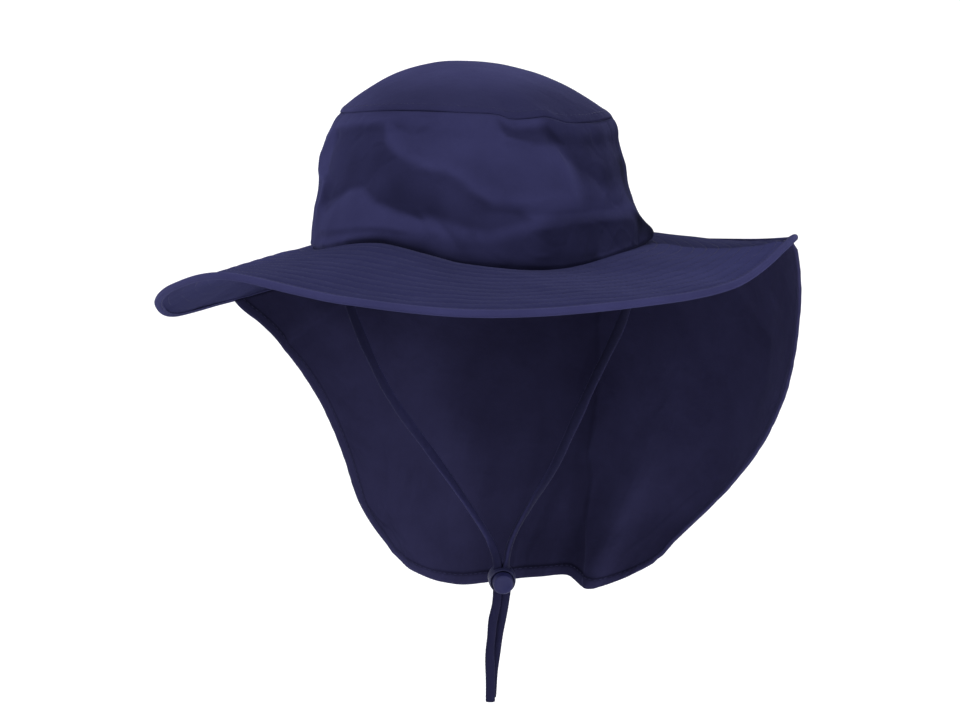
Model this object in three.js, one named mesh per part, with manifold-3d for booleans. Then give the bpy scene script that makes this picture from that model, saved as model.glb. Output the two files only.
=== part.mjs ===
// A flap sun hat: a bucket crown, a wide wavy brim, a neck flap on the brim's rear edge
// and a chin cord with a lock.
// Millimetres, +Z up. The origin is the middle of the head opening, and the front of the hat faces -Y.
import * as THREE from "three";
import { mergeVertices } from "three/addons/utils/BufferGeometryUtils.js";
import Module from "manifold-3d";

const wasm = await Module();
wasm.setup();

// Head opening and crown
const HEAD_HALF_WIDTH = 89;
const HEAD_HALF_LENGTH = 101;
const CROWN_HEIGHT = 79;
const DOME_RISE = 23.5;
const DOME_POWER = 2.2;
const DOME_LEAN = 8;
const CROWN_LEAN = 1.5;
const CROWN_WALL = 1.2;
const DENT_DEPTH = 5;
const SEAM_HOLD = 0.15;

// Brim and the tape round its edge
const BRIM_WIDTH = 84;
const BRIM_WALL = 1.6;
const BRIM_RISE = 20;
const JOIN_RISE = 18;
const JOIN_LAP = 2.2;
const TAPE_WIDTH = 4.2;
const TAPE_WALL = 1;
const LAP_SHARE = 0.07;
const RIM_SHARE = 0.9;

// Neck flap
const FLAP_DROP = 226;
const FLAP_WALL = 1;
const FLAP_FOLD_DEPTH = 9;
const FOLD_GROWTH = 1.4;
const HEM_WALL = 1.7;
const HEM_SHARE = 0.03;

// Chin cord and its lock
const CORD_DIAMETER = 4.4;
const CORD_SIDES = 8;
const CORD_STEPS = 34;
const LOCK_DIAMETER = 15.6;
const LOCK_LENGTH = 15;
const LOCK_WALL = 1.6;
const LOCK_TURN = THREE.MathUtils.degToRad(24);
const BUTTON_TRAVEL = 3;
const BUTTON_CAP = 2.4;
const BUTTON_ROUND = 1.2;
const BARREL_LIP = 2.6;
const PLUNGER_FOOT = 2.2;

// Clearance between neighbouring pieces, and the wider one where one faceted edge follows another
const GAP = 0.3;
const SEAM_GAP = 0.5;

// Facets of each surface
const CROWN_COLUMNS = 60;
const CROWN_ROWS = 9;
const TIP_COLUMNS = 44;
const TIP_ROWS = 6;
const BRIM_COLUMNS = 72;
const FLAP_COLUMNS = 50;
const FLAP_ROWS = 12;
const BARREL_SIDES = 24;
const BUTTON_SIDES = 20;

const NAVY = 0x35335f;
const NAVY_DEEP = 0x232142;
const NAVY_PLASTIC = 0x3b3a6b;

// Around the hat: height of the line where the brim joins the crown, and of the seam round the crown's tip.
// Angles in degrees, 0 at the front and positive towards +X.
// Join in shares of JOIN_RISE, seam in shares of CROWN_HEIGHT.
const CROWN_LINES = [
  { angle: -180, join: 0.22, seam: 0.97 },
  { angle: -130, join: 0.2, seam: 0.99 },
  { angle: -90, join: 0.2, seam: 0.955 },
  { angle: -44, join: 0.47, seam: 0.99 },
  { angle: -10, join: 1, seam: 1.03 },
  { angle: 15, join: 0.54, seam: 1.025 },
  { angle: 42, join: 0.27, seam: 0.985 },
  { angle: 78, join: 0.45, seam: 0.935 },
  { angle: 120, join: 0.36, seam: 0.935 },
];

// Up the crown's side: outline in shares of the head opening's half sizes, from the brim to the tip seam.
const CROWN_LEVELS = [
  { height: 0, size: 1 },
  { height: 0.2, size: 0.982 },
  { height: 0.45, size: 0.94 },
  { height: 0.7, size: 0.9 },
  { height: 0.9, size: 0.858 },
  { height: 1, size: 0.812 },
];

// Dents (negative) and bulges of the crown's side, depth in shares of DENT_DEPTH.
// Height and tall are shares of the crown's height, angle and wide are degrees.
const CROWN_DENTS = [
  { angle: -8, height: 0.66, wide: 30, tall: 0.24, depth: -0.75 },
  { angle: -62, height: 0.8, wide: 22, tall: 0.25, depth: 0.6 },
  { angle: 8, height: 0.14, wide: 5, tall: 0.2, depth: -0.5 },
  { angle: 34, height: 0.5, wide: 20, tall: 0.3, depth: 0.45 },
  { angle: 66, height: 0.2, wide: 17, tall: 0.18, depth: -0.7 },
  { angle: 106, height: 0.5, wide: 30, tall: 0.34, depth: -0.95 },
  { angle: 112, height: 0.07, wide: 12, tall: 0.09, depth: 0.9 },
  { angle: 160, height: 0.5, wide: 26, tall: 0.3, depth: -0.5 },
  { angle: -160, height: 0.32, wide: 24, tall: 0.25, depth: 0.4 },
  { angle: -118, height: 0.5, wide: 24, tall: 0.3, depth: -0.55 },
];

// Round the brim: width in shares of BRIM_WIDTH, edge height and mid-brim lift in shares of BRIM_RISE.
const BRIM_LINES = [
  { angle: -180, width: 0.92, edge: -0.65, lift: 0.1 },
  { angle: -150, width: 0.94, edge: -1.1, lift: 0.1 },
  { angle: -112, width: 0.99, edge: -1.85, lift: 0.1 },
  { angle: -92, width: 1.01, edge: -1.98, lift: 0.2 },
  { angle: -76, width: 1.01, edge: -1.8, lift: 0.16 },
  { angle: -58, width: 0.98, edge: -1, lift: 0.13 },
  { angle: -42, width: 0.95, edge: -0.25, lift: 0.06 },
  { angle: -23, width: 0.93, edge: 0.4, lift: -0.08 },
  { angle: 0, width: 0.92, edge: 0.12, lift: -0.05 },
  { angle: 20, width: 0.92, edge: -0.1, lift: 0 },
  { angle: 44, width: 0.94, edge: -0.02, lift: 0 },
  { angle: 65, width: 0.97, edge: 0.14, lift: -0.06 },
  { angle: 84, width: 0.97, edge: 0.73, lift: -0.25 },
  { angle: 98, width: 0.95, edge: 0.72, lift: -0.3 },
  { angle: 115, width: 0.96, edge: 0.32, lift: -0.2 },
  { angle: 135, width: 0.94, edge: -0.12, lift: 0 },
  { angle: 160, width: 0.92, edge: -0.5, lift: 0.1 },
];

// Down the flap: side edges and middle of the back.
// Angles in degrees, radii in shares of the brim edge's radius.
const FLAP_LEVELS = [
  { drop: 0, leftAngle: 257.5, left: 1, back: 1, right: 1, rightAngle: 101 },
  { drop: 0.2, leftAngle: 250, left: 0.9, back: 0.97, right: 1.035, rightAngle: 109 },
  { drop: 0.4, leftAngle: 244.5, left: 0.81, back: 0.92, right: 1.025, rightAngle: 112.5 },
  { drop: 0.6, leftAngle: 240, left: 0.765, back: 0.86, right: 0.98, rightAngle: 119 },
  { drop: 0.8, leftAngle: 236, left: 0.735, back: 0.8, right: 0.91, rightAngle: 130 },
  { drop: 1, leftAngle: 228, left: 0.68, back: 0.745, right: 0.81, rightAngle: 143 },
];

// Across the flap's foot, from the left edge (0) to the right (1): depth of the hem in shares of FLAP_DROP.
const HEM_LINE = [
  { across: 0, depth: 0.9 },
  { across: 0.08, depth: 0.96 },
  { across: 0.2, depth: 1.005 },
  { across: 0.42, depth: 1.015 },
  { across: 0.6, depth: 0.995 },
  { across: 0.72, depth: 1.005 },
  { across: 0.87, depth: 0.935 },
  { across: 1, depth: 0.825 },
];

// Soft vertical folds of the flap, depth in shares of FLAP_FOLD_DEPTH, outwards positive.
const FLAP_FOLDS = [
  { across: 0.12, wide: 0.07, depth: 0.35 },
  { across: 0.27, wide: 0.08, depth: -0.45 },
  { across: 0.46, wide: 0.09, depth: 0.6 },
  { across: 0.6, wide: 0.05, depth: 0.65 },
  { across: 0.7, wide: 0.05, depth: -0.75 },
  { across: 0.87, wide: 0.08, depth: 0.35 },
];

// Middle of the lock, and the chin cord's two strands: from the crown's side seams through the lock
// to their cut ends.
const LOCK_CENTRE = new THREE.Vector3(12.5, 2, -184);
const LEFT_ROUTE = [
  [-83.5, 6, 15], [-83.5, 6, 5], [-83.4, 6, -8], [-82.9, 5.8, -20], [-80.5, 5.6, -33], [-66.3, 5.4, -66],
  [-53.2, 5.2, -88], [-31.2, 4.8, -115], [-8, 3.8, -144], [4.6, 2.2, -161], [9, 1.3, -170], [10.3, 1, -177],
  [10.3, 1, -184], [10.2, 1, -191], [9.6, 0.5, -199], [7.9, -0.4, -208], [7.1, -0.6, -217], [6.3, -0.9, -227],
  [6.5, -0.8, -241], [6.6, -0.8, -257],
];
const RIGHT_ROUTE = [
  [83.5, 6, 15], [83.5, 6, 5], [83.3, 6, -8], [82.3, 5.8, -20], [78.4, 5.6, -34], [62.6, 5.4, -69],
  [51.3, 5.1, -95], [41, 4.8, -118], [29.8, 4.3, -137], [20.4, 3.6, -154], [16, 3.1, -166], [14.7, 3, -176],
  [14.7, 3, -184], [14.6, 3.1, -191], [13.2, 4, -199], [11.4, 5, -208], [9.9, 5, -217], [8.4, 4.5, -227],
  [7, 4.1, -237], [5.6, 3.8, -256],
];

const rad = THREE.MathUtils.degToRad;
const bell = (distance) => Math.exp(-distance * distance);
const clampIndex = (i, length) => Math.min(Math.max(i, 0), length - 1);

// A smooth curve through a table's rows; a period makes it go round.
function smooth(rows, place, value, period = 0) {
  const count = rows.length;
  const row = (i) => {
    if (!period) return rows[clampIndex(i, count)];
    const turn = Math.floor(i / count);
    const base = rows[i - turn * count];
    return { [place]: base[place] + turn * period, [value]: base[value] };
  };
  return (x) => {
    let t = x;
    if (period) t = rows[0][place] + THREE.MathUtils.euclideanModulo(x - rows[0][place], period);
    let i = 0;
    const last = period ? count - 1 : count - 2;
    while (i < last && row(i + 1)[place] <= t) i += 1;
    const [before, from, to, after] = [row(i - 1), row(i), row(i + 1), row(i + 2)];
    const span = to[place] - from[place];
    const share = THREE.MathUtils.clamp((t - from[place]) / span, 0, 1);
    const slope = (a, b) => (b[place] > a[place] ? (b[value] - a[value]) / (b[place] - a[place]) : 0);
    const start = slope(before, to) * span;
    const end = slope(from, after) * span;
    const s2 = share * share;
    const s3 = s2 * share;
    return (2 * s3 - 3 * s2 + 1) * from[value] + (s3 - 2 * s2 + share) * start
      + (3 * s2 - 2 * s3) * to[value] + (s3 - s2) * end;
  };
}

const joinShare = smooth(CROWN_LINES, "angle", "join", 360);
const seamShare = smooth(CROWN_LINES, "angle", "seam", 360);
const crownSize = smooth(CROWN_LEVELS, "height", "size");
const brimWidth = smooth(BRIM_LINES, "angle", "width", 360);
const brimEdge = smooth(BRIM_LINES, "angle", "edge", 360);
const brimLift = smooth(BRIM_LINES, "angle", "lift", 360);

const joinHeight = (angle) => JOIN_RISE * joinShare(angle);
const seamHeight = (angle) => CROWN_HEIGHT * seamShare(angle);

// Radius of the head opening's oval at a hat angle.
function headRadius(angle) {
  const across = Math.sin(rad(angle)) / HEAD_HALF_WIDTH;
  const along = Math.cos(rad(angle)) / HEAD_HALF_LENGTH;
  return 1 / Math.hypot(across, along);
}

// The point at a hat angle, a radius and a height.
function atAngle(angle, radius, height) {
  return new THREE.Vector3(Math.sin(rad(angle)) * radius, -Math.cos(rad(angle)) * radius, height);
}

// Smallest turn between two angles, in degrees.
const turnBetween = (a, b) => THREE.MathUtils.euclideanModulo(a - b + 180, 360) - 180;

// The crown's side, from the brim (up = 0) to the tip seam (up = 1).
function crownSide(angle, up) {
  let push = 0;
  for (const dent of CROWN_DENTS) {
    const sideways = turnBetween(angle, dent.angle) / dent.wide;
    push += dent.depth * bell(sideways) * bell((up - dent.height) / dent.tall);
  }
  const held = Math.min(1, (1 - up) / SEAM_HOLD);
  const radius = (headRadius(angle) - CROWN_WALL / 2) * crownSize(up) + DENT_DEPTH * push * held;
  const foot = joinHeight(angle) + SEAM_GAP;
  const point = atAngle(angle, radius, foot + (seamHeight(angle) - foot) * up);
  return point.setX(point.x - CROWN_LEAN * up);
}

// The crown's tip, from its seam (inwards = 0) to the middle (inwards = 1).
function crownTip(angle, inwards) {
  const share = 1 - inwards;
  const rim = crownSide(angle, 1);
  const lift = DOME_RISE * (1 - share ** DOME_POWER);
  const level = THREE.MathUtils.lerp(CROWN_HEIGHT, rim.z, share ** 2);
  const lean = DOME_LEAN * (1 - share ** 2);
  return new THREE.Vector3(rim.x * share - lean, rim.y * share, level + lift + CROWN_WALL / 2 + SEAM_GAP);
}

// The brim, from its lap under the crown (out = 0) to its edge (out = 1). The lap lies level.
function brim(angle, out) {
  const inner = headRadius(angle) - JOIN_LAP;
  const radius = inner + (BRIM_WIDTH * brimWidth(angle) + JOIN_LAP) * out;
  const free = Math.max(0, (out - LAP_SHARE) / (1 - LAP_SHARE));
  const root = joinHeight(angle) - BRIM_WALL / 2;
  const fall = (BRIM_RISE * brimEdge(angle) - root) * free;
  const lift = BRIM_RISE * brimLift(angle) * 4 * free * (1 - free);
  return atAngle(angle, radius, root + fall + lift);
}

// The flap, across from its left edge to its right and down from the brim's edge to the hem.
const flapSide = (name) => smooth(FLAP_LEVELS, "drop", name);
const [leftAngle, rightAngle] = [flapSide("leftAngle"), flapSide("rightAngle")];
const [leftShare, backShare, rightShare] = [flapSide("left"), flapSide("back"), flapSide("right")];
const hemDepth = smooth(HEM_LINE, "across", "depth");
const flapTopGap = BRIM_WALL / 2 + GAP + TAPE_WALL + SEAM_GAP;
function flapTop(angle) {
  const seat = brim(angle, 1 - TAPE_WIDTH / 2 / BRIM_WIDTH);
  const edge = brim(angle, 1);
  const radius = Math.hypot(seat.x, seat.y);
  const lean = Math.abs(edge.z - seat.z) / (Math.hypot(edge.x, edge.y) - radius);
  return { radius, height: seat.z - flapTopGap * Math.hypot(1, lean) - (HEM_WALL / 2) * lean };
}
function flap(across, down) {
  const angle = THREE.MathUtils.lerp(leftAngle(down), rightAngle(down), across);
  const side = 2 * across - 1;
  const share = leftShare(down) * (side * (side - 1)) / 2 + backShare(down) * (1 - side * side)
    + rightShare(down) * (side * (side + 1)) / 2;
  let push = 0;
  for (const fold of FLAP_FOLDS) push += fold.depth * bell((across - fold.across) / fold.wide);
  const radius = flapTop(angle).radius * share + FLAP_FOLD_DEPTH * push * Math.min(1, down * FOLD_GROWTH);
  const top = flapTop(THREE.MathUtils.lerp(leftAngle(0), rightAngle(0), across)).height;
  return atAngle(angle, radius, THREE.MathUtils.lerp(top, -FLAP_DROP * hemDepth(across), down));
}

// A count of equal steps from 0 to 1.
const evenSteps = (count) => Array.from({ length: count + 1 }, (_, i) => i / count);

// A geometry from points and triangles, turned round if its faces point inwards.
function solid(points, faces) {
  let volume = 0;
  for (const [a, b, c] of faces) {
    volume += points[a].dot(new THREE.Vector3().crossVectors(points[b], points[c]));
  }
  const index = faces.flatMap(([a, b, c]) => (volume < 0 ? [a, c, b] : [a, b, c]));
  const geometry = new THREE.BufferGeometry().setFromPoints(points).setIndex(index);
  geometry.computeVertexNormals();
  return geometry;
}

// A wall of even or given thickness on both sides of a surface.
// A ring closes round, and an apex closes on one point.
function wallOf(surface, alongSteps, acrossSteps, wall, { ring = false, apex = false } = {}) {
  const along = ring ? alongSteps.slice(0, -1) : alongSteps;
  const rows = acrossSteps.length;
  const points = [];
  const reach = 1e-3;
  for (const side of [1, -1]) {
    for (const a of along) {
      for (const b of acrossSteps) {
        const low = [ring ? a - reach : Math.max(a - reach, 0), Math.max(b - reach, 0)];
        const high = [ring ? a + reach : Math.min(a + reach, 1), Math.min(b + reach, 1)];
        const alongA = surface(high[0], b).sub(surface(low[0], b));
        const alongB = surface(a, high[1]).sub(surface(a, low[1]));
        const normal = new THREE.Vector3().crossVectors(alongA, alongB).normalize();
        points.push(surface(a, b).addScaledVector(normal, (side * wall(a, b)) / 2));
      }
    }
  }
  if (apex) {
    const middle = surface(0, 1);
    for (const side of [1, -1]) points.push(middle.clone().setZ(middle.z + (side * wall(0, 1)) / 2));
  }
  const sheet = along.length * rows;
  const at = (side, i, j) => {
    if (apex && j === rows - 1) return 2 * sheet + side;
    return side * sheet + (i % along.length) * rows + j;
  };
  const faces = [];
  const quad = (a, b, c, d) => {
    if (a !== b && b !== c && a !== c) faces.push([a, b, c]);
    if (a !== c && c !== d && a !== d) faces.push([a, c, d]);
  };
  const columns = ring ? along.length : along.length - 1;
  for (let i = 0; i < columns; i += 1) {
    for (let j = 0; j < rows - 1; j += 1) {
      quad(at(0, i, j), at(0, i + 1, j), at(0, i + 1, j + 1), at(0, i, j + 1));
      quad(at(1, i, j + 1), at(1, i + 1, j + 1), at(1, i + 1, j), at(1, i, j));
    }
    quad(at(1, i, 0), at(1, i + 1, 0), at(0, i + 1, 0), at(0, i, 0));
    if (!apex) quad(at(0, i, rows - 1), at(0, i + 1, rows - 1), at(1, i + 1, rows - 1), at(1, i, rows - 1));
  }
  if (!ring) {
    for (let j = 0; j < rows - 1; j += 1) {
      quad(at(0, 0, j), at(0, 0, j + 1), at(1, 0, j + 1), at(1, 0, j));
      quad(at(1, columns, j), at(1, columns, j + 1), at(0, columns, j + 1), at(0, columns, j));
    }
  }
  return solid(points, faces);
}

// A closed band with one section swept round the brim's edge: x outwards along the brim, y across it.
function bandRound(steps, section) {
  const points = [];
  const nudge = 0.5;
  for (let i = 0; i < steps; i += 1) {
    const angle = (360 * i) / steps;
    const edge = brim(angle, 1);
    const outwards = edge.clone().sub(brim(angle, RIM_SHARE)).normalize();
    const onwards = brim(angle + nudge, 1).sub(brim(angle - nudge, 1)).normalize();
    const normal = new THREE.Vector3().crossVectors(onwards, outwards).normalize();
    for (const [x, y] of section) {
      points.push(edge.clone().addScaledVector(outwards, x).addScaledVector(normal, y));
    }
  }
  const count = section.length;
  const faces = [];
  for (let i = 0; i < steps; i += 1) {
    for (let j = 0; j < count; j += 1) {
      const [a, b] = [i * count + j, i * count + ((j + 1) % count)];
      const [c, d] = [((i + 1) % steps) * count + ((j + 1) % count), ((i + 1) % steps) * count + j];
      faces.push([a, b, c], [a, c, d]);
    }
  }
  return solid(points, faces);
}

// The edge tape's section: a folded strip with the brim's edge in its slot.
function tapeSection() {
  const slot = BRIM_WALL / 2 + GAP;
  const half = slot + TAPE_WALL;
  const back = GAP + TAPE_WALL - TAPE_WIDTH;
  const nose = GAP + TAPE_WALL;
  return [
    [back, slot], [back, half], [nose - half / 2, half], [nose, half / 2],
    [nose, -half / 2], [nose - half / 2, -half], [back, -half], [back, -slot], [GAP, -slot], [GAP, slot],
  ];
}

// A round cord along a route.
function cord(route) {
  const points = route.map((point) => new THREE.Vector3(...point));
  const path = new THREE.CatmullRomCurve3(points, false, "centripetal");
  const section = new THREE.Shape();
  for (let i = 0; i < CORD_SIDES; i += 1) {
    const turn = (2 * Math.PI * (i + 0.5)) / CORD_SIDES;
    const corner = [(Math.cos(turn) * CORD_DIAMETER) / 2, (Math.sin(turn) * CORD_DIAMETER) / 2];
    if (i === 0) section.moveTo(...corner);
    else section.lineTo(...corner);
  }
  section.closePath();
  return new THREE.ExtrudeGeometry(section, { steps: CORD_STEPS, bevelEnabled: false, extrudePath: path });
}

function manifoldOf(geometry) {
  const bare = geometry.clone();
  for (const name of Object.keys(bare.attributes)) {
    if (name !== "position") bare.deleteAttribute(name);
  }
  const merged = mergeVertices(bare, 1e-3);
  const vertProperties = merged.attributes.position.array;
  const triVerts = new Uint32Array(merged.index.array);
  return new wasm.Manifold(new wasm.Mesh({ numProp: 3, vertProperties, triVerts }));
}

function geometryOf(body) {
  const mesh = body.getMesh();
  const geometry = new THREE.BufferGeometry();
  geometry.setAttribute("position", new THREE.BufferAttribute(mesh.vertProperties, 3));
  geometry.setIndex(new THREE.BufferAttribute(mesh.triVerts, 1));
  geometry.computeVertexNormals();
  return geometry;
}

// A turned piece on the lock's axis, which runs along +Y into the lock from its button.
function turned(profile, sides) {
  const corners = profile.map(([radius, along]) => new THREE.Vector2(radius, along));
  const area = corners.reduce((sum, p, i) => {
    const q = corners[(i + 1) % corners.length];
    return sum + p.x * q.y - q.x * p.y;
  }, 0);
  if (area < 0) corners.reverse();
  return new THREE.LatheGeometry(corners, sides);
}

// The slot for both strands, across the lock's axis from top to bottom.
const strandRoom = 2 * CORD_DIAMETER + 4 * GAP;
function strandSlot(from, to) {
  const slot = new THREE.BoxGeometry(strandRoom, to - from, 2 * LOCK_DIAMETER);
  return slot.translate(0, (from + to) / 2, 0);
}

// Lengths along the lock's axis, from the strands' middle.
// The barrel reaches from its mouth to its closed back.
const strandHalf = CORD_DIAMETER / 2 + GAP;
const barrelMouth = -strandHalf - BARREL_LIP;
const barrelBack = barrelMouth + LOCK_LENGTH;
const plungerRadius = LOCK_DIAMETER / 2 - LOCK_WALL - GAP;
const boreRadius = LOCK_DIAMETER / 2 - LOCK_WALL;
const boreEnd = barrelBack - LOCK_WALL;

function lockBarrel() {
  const radius = LOCK_DIAMETER / 2;
  const round = LOCK_DIAMETER / 5;
  const body = turned([
    [0, boreEnd], [boreRadius, boreEnd], [boreRadius, barrelMouth], [radius - round / 3, barrelMouth],
    [radius, barrelMouth + round], [radius, barrelBack - round],
    [radius - round / 3, barrelBack - round / 3], [radius - round, barrelBack], [0, barrelBack],
  ], BARREL_SIDES);
  return geometryOf(manifoldOf(body).subtract(manifoldOf(strandSlot(-strandHalf, strandHalf))));
}

function lockButton() {
  const face = barrelMouth - BUTTON_TRAVEL - BUTTON_CAP;
  const foot = strandHalf + PLUNGER_FOOT;
  const body = turned([
    [0, face], [plungerRadius - BUTTON_ROUND, face],
    [plungerRadius - BUTTON_ROUND * 0.3, face + BUTTON_ROUND * 0.3],
    [plungerRadius, face + BUTTON_ROUND], [plungerRadius, foot], [0, foot],
  ], BUTTON_SIDES);
  const slot = strandSlot(-strandHalf - BUTTON_TRAVEL, strandHalf);
  return geometryOf(manifoldOf(body).subtract(manifoldOf(slot)));
}

// The hat put together
const cloth = (color, roughness) => new THREE.MeshStandardMaterial({ color, roughness, metalness: 0 });
function piece(name, geometry, material) {
  const mesh = new THREE.Mesh(geometry, material);
  mesh.name = name;
  return mesh;
}

const degrees = (share) => share * 360 - 180;
const crownWall = () => CROWN_WALL;
const flapWall = (across, down) => {
  const inHem = across < HEM_SHARE || across > 1 - HEM_SHARE || down > 1 - HEM_SHARE;
  return inHem ? HEM_WALL : FLAP_WALL;
};
const BRIM_AROUND = evenSteps(BRIM_COLUMNS);
const BRIM_STEPS = [0, LAP_SHARE, 0.25, 0.45, 0.65, RIM_SHARE, 1];
const FLAP_ACROSS = [0, HEM_SHARE * 0.9, ...evenSteps(FLAP_COLUMNS).slice(2, -2), 1 - HEM_SHARE * 0.9, 1];
const FLAP_DOWN = [...evenSteps(FLAP_ROWS).slice(0, -1), 1 - HEM_SHARE * 0.9, 1];

const CROWN_AROUND = evenSteps(CROWN_COLUMNS);
const CROWN_UP = evenSteps(CROWN_ROWS);
const TIP_AROUND = evenSteps(TIP_COLUMNS);
const TIP_INWARDS = evenSteps(TIP_ROWS);
const domeForm = { ring: true, apex: true };

const crown = new THREE.Group();
crown.add(
  piece(
    "crown_side",
    wallOf((a, up) => crownSide(degrees(a), up), CROWN_AROUND, CROWN_UP, crownWall, { ring: true }),
    cloth(NAVY, 0.62),
  ),
  piece(
    "crown_tip",
    wallOf((a, b) => crownTip(degrees(a), b), TIP_AROUND, TIP_INWARDS, crownWall, domeForm),
    cloth(NAVY, 0.6),
  ),
);

const brimGroup = new THREE.Group();
brimGroup.add(
  piece(
    "brim",
    wallOf((a, out) => brim(degrees(a), out), BRIM_AROUND, BRIM_STEPS, () => BRIM_WALL, { ring: true }),
    cloth(NAVY, 0.6),
  ),
  piece("brim_edge_tape", bandRound(BRIM_COLUMNS, tapeSection()), cloth(NAVY, 0.6)),
);

const neckFlap = piece("neck_flap", wallOf(flap, FLAP_ACROSS, FLAP_DOWN, flapWall), cloth(NAVY_DEEP, 0.7));

const chinCord = new THREE.Group();
const lock = new THREE.Group();
lock.position.copy(LOCK_CENTRE);
lock.rotation.z = LOCK_TURN;
lock.add(
  piece("lock_barrel", lockBarrel(), cloth(NAVY_PLASTIC, 0.45)),
  piece("lock_button", lockButton(), cloth(NAVY_PLASTIC, 0.35)),
);
chinCord.add(
  piece("chin_cord_left", cord(LEFT_ROUTE), cloth(NAVY, 0.75)),
  piece("chin_cord_right", cord(RIGHT_ROUTE), cloth(NAVY, 0.75)),
  lock,
);

const hat = new THREE.Group();
hat.add(crown, brimGroup, neckFlap, chinCord);

export default hat;
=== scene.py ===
import math

import bpy
import numpy as np
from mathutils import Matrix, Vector


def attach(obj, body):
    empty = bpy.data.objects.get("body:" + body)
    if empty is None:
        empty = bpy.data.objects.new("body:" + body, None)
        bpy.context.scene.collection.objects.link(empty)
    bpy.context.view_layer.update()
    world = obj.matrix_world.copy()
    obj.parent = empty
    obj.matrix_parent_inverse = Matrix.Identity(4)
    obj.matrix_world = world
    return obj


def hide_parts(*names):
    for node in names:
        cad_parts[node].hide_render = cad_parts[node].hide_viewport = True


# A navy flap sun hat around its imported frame: cloth shells with their folds and topstitching,
# a braided chin cord and its spring lock. Lengths below are in millimetres, as in the part.
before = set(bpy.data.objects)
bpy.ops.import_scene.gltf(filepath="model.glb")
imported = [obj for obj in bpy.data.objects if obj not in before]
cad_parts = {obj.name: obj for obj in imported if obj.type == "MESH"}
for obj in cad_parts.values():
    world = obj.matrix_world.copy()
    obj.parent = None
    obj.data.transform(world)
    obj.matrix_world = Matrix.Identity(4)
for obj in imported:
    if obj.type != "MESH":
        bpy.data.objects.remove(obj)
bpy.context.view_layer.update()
MM = 0.001

# Camera at the photograph's viewing angle
CAMERA_TURN = math.radians(20)
CAMERA_PITCH = math.radians(11.5)
CAMERA_REACH = 0.95
CAMERA_HEIGHT = 0.133
FOCAL_PIXELS = 1757
IMAGE_WIDTH = 960
SENSOR_WIDTH = 36


def make_camera():
    data = bpy.data.cameras.new("camera")
    data.sensor_width = SENSOR_WIDTH
    data.lens = SENSOR_WIDTH * FOCAL_PIXELS / IMAGE_WIDTH
    camera = bpy.data.objects.new("camera", data)
    bpy.context.scene.collection.objects.link(camera)
    camera.location = (
        math.sin(CAMERA_TURN) * CAMERA_REACH,
        -math.cos(CAMERA_TURN) * CAMERA_REACH,
        CAMERA_HEIGHT,
    )
    camera.rotation_euler = (math.pi / 2 - CAMERA_PITCH, 0, CAMERA_TURN)
    bpy.context.scene.camera = camera


make_camera()

# Driving sizes of the hat, the same as the part's
HEAD_HALF_WIDTH = 89
HEAD_HALF_LENGTH = 101
CROWN_HEIGHT = 79
DOME_RISE = 23.5
DOME_POWER = 2.2
DOME_LEAN = 8
CROWN_LEAN = 1.5
CROWN_WALL = 1.2
DENT_DEPTH = 5
SEAM_HOLD = 0.15
BRIM_WIDTH = 84
BRIM_WALL = 1.6
BRIM_RISE = 20
JOIN_RISE = 18
JOIN_LAP = 2.2
LAP_SHARE = 0.07
TAPE_WIDTH = 4.2
TAPE_WALL = 1
FLAP_DROP = 226
FLAP_WALL = 1
FLAP_FOLD_DEPTH = 9
FOLD_GROWTH = 1.4
HEM_WALL = 1.7
GAP = 0.3
SEAM_GAP = 0.5


def table(columns, rows):
    """A table's columns by name."""
    return dict(zip(columns.split(), np.array(rows, float).T))


# The part's tables. Angles in degrees, 0 at the front and positive towards +X.
CROWN_LINES = table("angle join seam", [
    (-180, 0.22, 0.97), (-130, 0.2, 0.99), (-90, 0.2, 0.955), (-44, 0.47, 0.99), (-10, 1, 1.03),
    (15, 0.54, 1.025), (42, 0.27, 0.985), (78, 0.45, 0.935), (120, 0.36, 0.935),
])
CROWN_LEVELS = table("height size", [
    (0, 1), (0.2, 0.982), (0.45, 0.94), (0.7, 0.9), (0.9, 0.858), (1, 0.812),
])
CROWN_DENTS = table("angle height wide tall depth", [
    (-8, 0.66, 30, 0.24, -0.75), (-62, 0.8, 22, 0.25, 0.6), (8, 0.14, 5, 0.2, -0.5),
    (34, 0.5, 20, 0.3, 0.45), (66, 0.2, 17, 0.18, -0.7), (106, 0.5, 30, 0.34, -0.95),
    (112, 0.07, 12, 0.09, 0.9), (160, 0.5, 26, 0.3, -0.5), (-160, 0.32, 24, 0.25, 0.4),
    (-118, 0.5, 24, 0.3, -0.55),
])
BRIM_LINES = table("angle width edge lift", [
    (-180, 0.92, -0.65, 0.1), (-150, 0.94, -1.1, 0.1), (-112, 0.99, -1.85, 0.1),
    (-92, 1.01, -1.98, 0.2), (-76, 1.01, -1.8, 0.16), (-58, 0.98, -1, 0.13), (-42, 0.95, -0.25, 0.06),
    (-23, 0.93, 0.4, -0.08), (0, 0.92, 0.12, -0.05), (20, 0.92, -0.1, 0), (44, 0.94, -0.02, 0),
    (65, 0.97, 0.14, -0.06), (84, 0.97, 0.73, -0.25), (98, 0.95, 0.72, -0.3), (115, 0.96, 0.32, -0.2),
    (135, 0.94, -0.12, 0), (160, 0.92, -0.5, 0.1),
])
FLAP_LEVELS = table("drop left_angle left back right right_angle", [
    (0, 257.5, 1, 1, 1, 101), (0.2, 250, 0.9, 0.97, 1.035, 109), (0.4, 244.5, 0.81, 0.92, 1.025, 112.5),
    (0.6, 240, 0.765, 0.86, 0.98, 119), (0.8, 236, 0.735, 0.8, 0.91, 130),
    (1, 228, 0.68, 0.745, 0.81, 143),
])
HEM_LINE = table("across depth", [
    (0, 0.9), (0.08, 0.96), (0.2, 1.005), (0.42, 1.015), (0.6, 0.995), (0.72, 1.005), (0.87, 0.935),
    (1, 0.825),
])
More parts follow.
